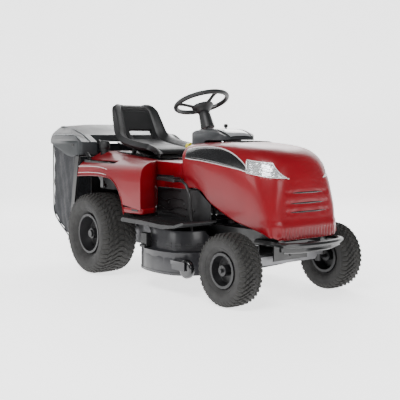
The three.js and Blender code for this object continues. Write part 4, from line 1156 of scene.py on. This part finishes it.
def add_lug(work, centre, profile, turn, aside, lean, length, width, height):
    """One raised block of tread that follows the tyre's crown; lean is its slant across the tread."""
    rows = []
    steps = 4
    for i in range(steps + 1):
        share = i / steps - 0.5
        across = aside + share * length * math.cos(lean)
        radius = surface_radius(profile, across)
        forward = share * length * math.sin(lean) / radius
        half = width / radius / 2
        low, high = radius - 3, radius + height * (0.45 if i in (0, steps) else 1.0)
        ring = ((low, -half * 1.25), (high, -half * 0.8), (high, half * 0.8), (low, half * 1.25))
        rows.append([wheel_point(centre, r * MM, turn + forward + a, across * MM) for r, a in ring])
    verts = add_grid(work, rows)
    for row in (verts[0], verts[-1]):
        work.faces.new(row)


def build_sidewall_lines(name, centre, profile, bead, crown):
    rings = bmesh.new()
    for side in (-1, 1):
        for share, thick in SIDEWALL_RINGS:
            wanted = bead + share * (crown - bead)
            place = min(profile, key=lambda p: abs(p.x - wanted) + (p.y * side < 0) * 1000)
            path = [wheel_point(centre, place.x * MM, turn, place.y * MM) for turn in full_turn(72)]
            add_rod(rings, path, thick * MM, 6, True)
    from_bmesh(name + "_sidewall_lines", rings, "sidewall", body_of(name))


def build_tread(name, centre, profile, outside, half_width, lugs_round):
    lugs = bmesh.new()
    pitch = 2 * math.pi / lugs_round
    for k in range(lugs_round):
        for aside, lean, length, shift in LUG_COLUMNS:
            add_lug(lugs, centre, profile, pitch * (k + shift), aside * half_width, lean,
                    length * half_width * 1.05, pitch * outside * 0.50, LUG_HEIGHT)
    from_bmesh(name + "_tread", lugs, "tyre", body_of(name), (), 30)


def build_tyre(name, bead, outside, half_width, lugs_round):
    centre = middle(name)
    crown = outside - LUG_HEIGHT / TYRE_SECTION[-1][0] + 2
    profile = tyre_profile(bead, crown, half_width)
    work = bmesh.new()
    rows = [[wheel_point(centre, p.x * MM, turn, p.y * MM) for p in profile] for turn in full_turn(96)]
    add_grid(work, rows, True)
    from_bmesh(name + "_carcass", work, "sidewall", body_of(name), (name,), 60)
    build_sidewall_lines(name, centre, profile, bead, crown)
    build_tread(name, centre, profile, outside, half_width, lugs_round)


def build_tyres():
    for side, _ in SIDES:
        build_tyre(f"front_tyre_{side}", 84, 170, 64, 40)
        build_tyre(f"rear_tyre_{side}", 113, 228.5, 108, 44)


# ---- the CAD nodes kept in form, by finish ----
FINISHES = {
    "frame_black": ["chassis_frame", "rear_plate", "tipping_bracket", "collector_frame", "height_quadrant",
                    "seat_pan", "seat_slide", "height_lever", "front_bumper"],
    "black_plastic": ["steering_column", "engine_cowl", "battery", "discharge_chute", "throttle_lever",
                      "ignition_key", "fuel_cap", "fuel_tank"],
    "cast": ["engine_crankcase", "transaxle"],
    "steel": ["muffler", "crankshaft_and_flywheel", "steering_shaft", "steering_sector", "drag_link", "tie_rod",
              *both("blade_and_spindle")],
    "belt": ["blade_timing_belt"],
    "rim_black": [*both("front_rim"), *both("rear_rim"), *both("half_shaft")],
    "gloss_black": both("anti_scalp_wheel"),
    "yellow": ["blade_engage_knob"],
}


def finish_remaining_nodes():
    for material, nodes in FINISHES.items():
        for node in nodes:
            refined(node, material)


# ---- studio, in metres ----
# The floor's section, front to back, curving up into the backdrop: (y, z).
FLOOR_SECTION = ((-6, 0), (3.2, 0), (3.9, 0.12), (4.4, 0.6), (4.6, 1.3), (4.6, 6))
FLOOR_HALF_WIDTH = 9
FLOOR_TURN = math.radians(-38.4)
FLOOR_GLOW = 1.9
WORLD_GLOW = 0.2
# Each light's name, place, target, size and power.
LIGHTS = (("key", (-2.6, -1.6, 3.4), (0, 0, 0.3), (2.0, 1.4), 150),
          ("front", (-0.4, -4.0, 1.9), (0, -0.3, 0.5), (1.6, 1.0), 34),
          ("side", (-4.0, 1.2, 1.6), (0, 0.2, 0.5), (1.6, 1.0), 30),
          ("back", (2.4, 2.4, 2.8), (0, 0.1, 0.6), (2.4, 1.6), 70))
CAMERA_PLACE = Vector((-2.536, -3.2565, 0.784))
CAMERA_AIM = Vector((-0.070, -0.1455, 0.437))
CAMERA_LENS, CAMERA_SENSOR = 67.14, 36


def studio_floor():
    material, shader = principled("studio_floor", (0.92, 0.92, 0.93), 0.6)
    shader.inputs["Emission Color"].default_value = (1, 1, 1, 1)
    shader.inputs["Emission Strength"].default_value = FLOOR_GLOW
    tree = material.node_tree
    speckle = noise(tree, 3.0, 5.0)
    vary_colour(tree, shader, speckle.outputs["Fac"], 0.3, 0.7, (0.90,) * 3, (0.94,) * 3)
    work = bmesh.new()
    edges = (-FLOOR_HALF_WIDTH, FLOOR_HALF_WIDTH)
    add_grid(work, [[Vector((x, y, z)) for x in edges] for y, z in FLOOR_SECTION])
    for face in work.faces:
        face.smooth = True
    bmesh.ops.recalc_face_normals(work, faces=work.faces)
    mesh = bpy.data.meshes.new("studio_floor")
    work.to_mesh(mesh)
    work.free()
    mesh.materials.append(material)
    floor = bpy.data.objects.new("studio_floor", mesh)
    floor.rotation_euler = (0, 0, FLOOR_TURN)
    bpy.context.scene.collection.objects.link(floor)


def area_light(name, place, target, size, power):
    light = bpy.data.lights.new(name, "AREA")
    light.shape = "RECTANGLE"
    light.size, light.size_y = size
    light.energy = power
    lamp = bpy.data.objects.new(name, light)
    lamp.location = place
    lamp.rotation_euler = (Vector(target) - Vector(place)).to_track_quat("-Z", "Y").to_euler()
    bpy.context.scene.collection.objects.link(lamp)


def studio_world():
    world = bpy.data.worlds.new("studio")
    world.use_nodes = True
    background = world.node_tree.nodes["Background"]
    background.inputs["Color"].default_value = (1, 1, 1, 1)
    background.inputs["Strength"].default_value = WORLD_GLOW
    bpy.context.scene.world = world


def studio_camera():
    data = bpy.data.cameras.new("camera")
    data.sensor_width = CAMERA_SENSOR
    data.lens = CAMERA_LENS
    camera = bpy.data.objects.new("camera", data)
    camera.location = CAMERA_PLACE
    camera.rotation_euler = (CAMERA_AIM - CAMERA_PLACE).to_track_quat("-Z", "Y").to_euler()
    bpy.context.scene.collection.objects.link(camera)
    bpy.context.scene.camera = camera


def studio():
    studio_floor()
    for light in LIGHTS:
        area_light(*light)
    studio_world()
    studio_camera()


def build():
    build_hood()
    build_side_inserts()
    build_vent()
    build_groove_shade()
    build_console()
    build_pedals()
    build_tyres()
    build_seat()
    build_bag()
    build_deck()
    build_steering_wheel()
    build_fender()
    build_skirt()
    build_front_axle()
    build_footwell()
    build_lid()
    finish_remaining_nodes()
    studio()


build()
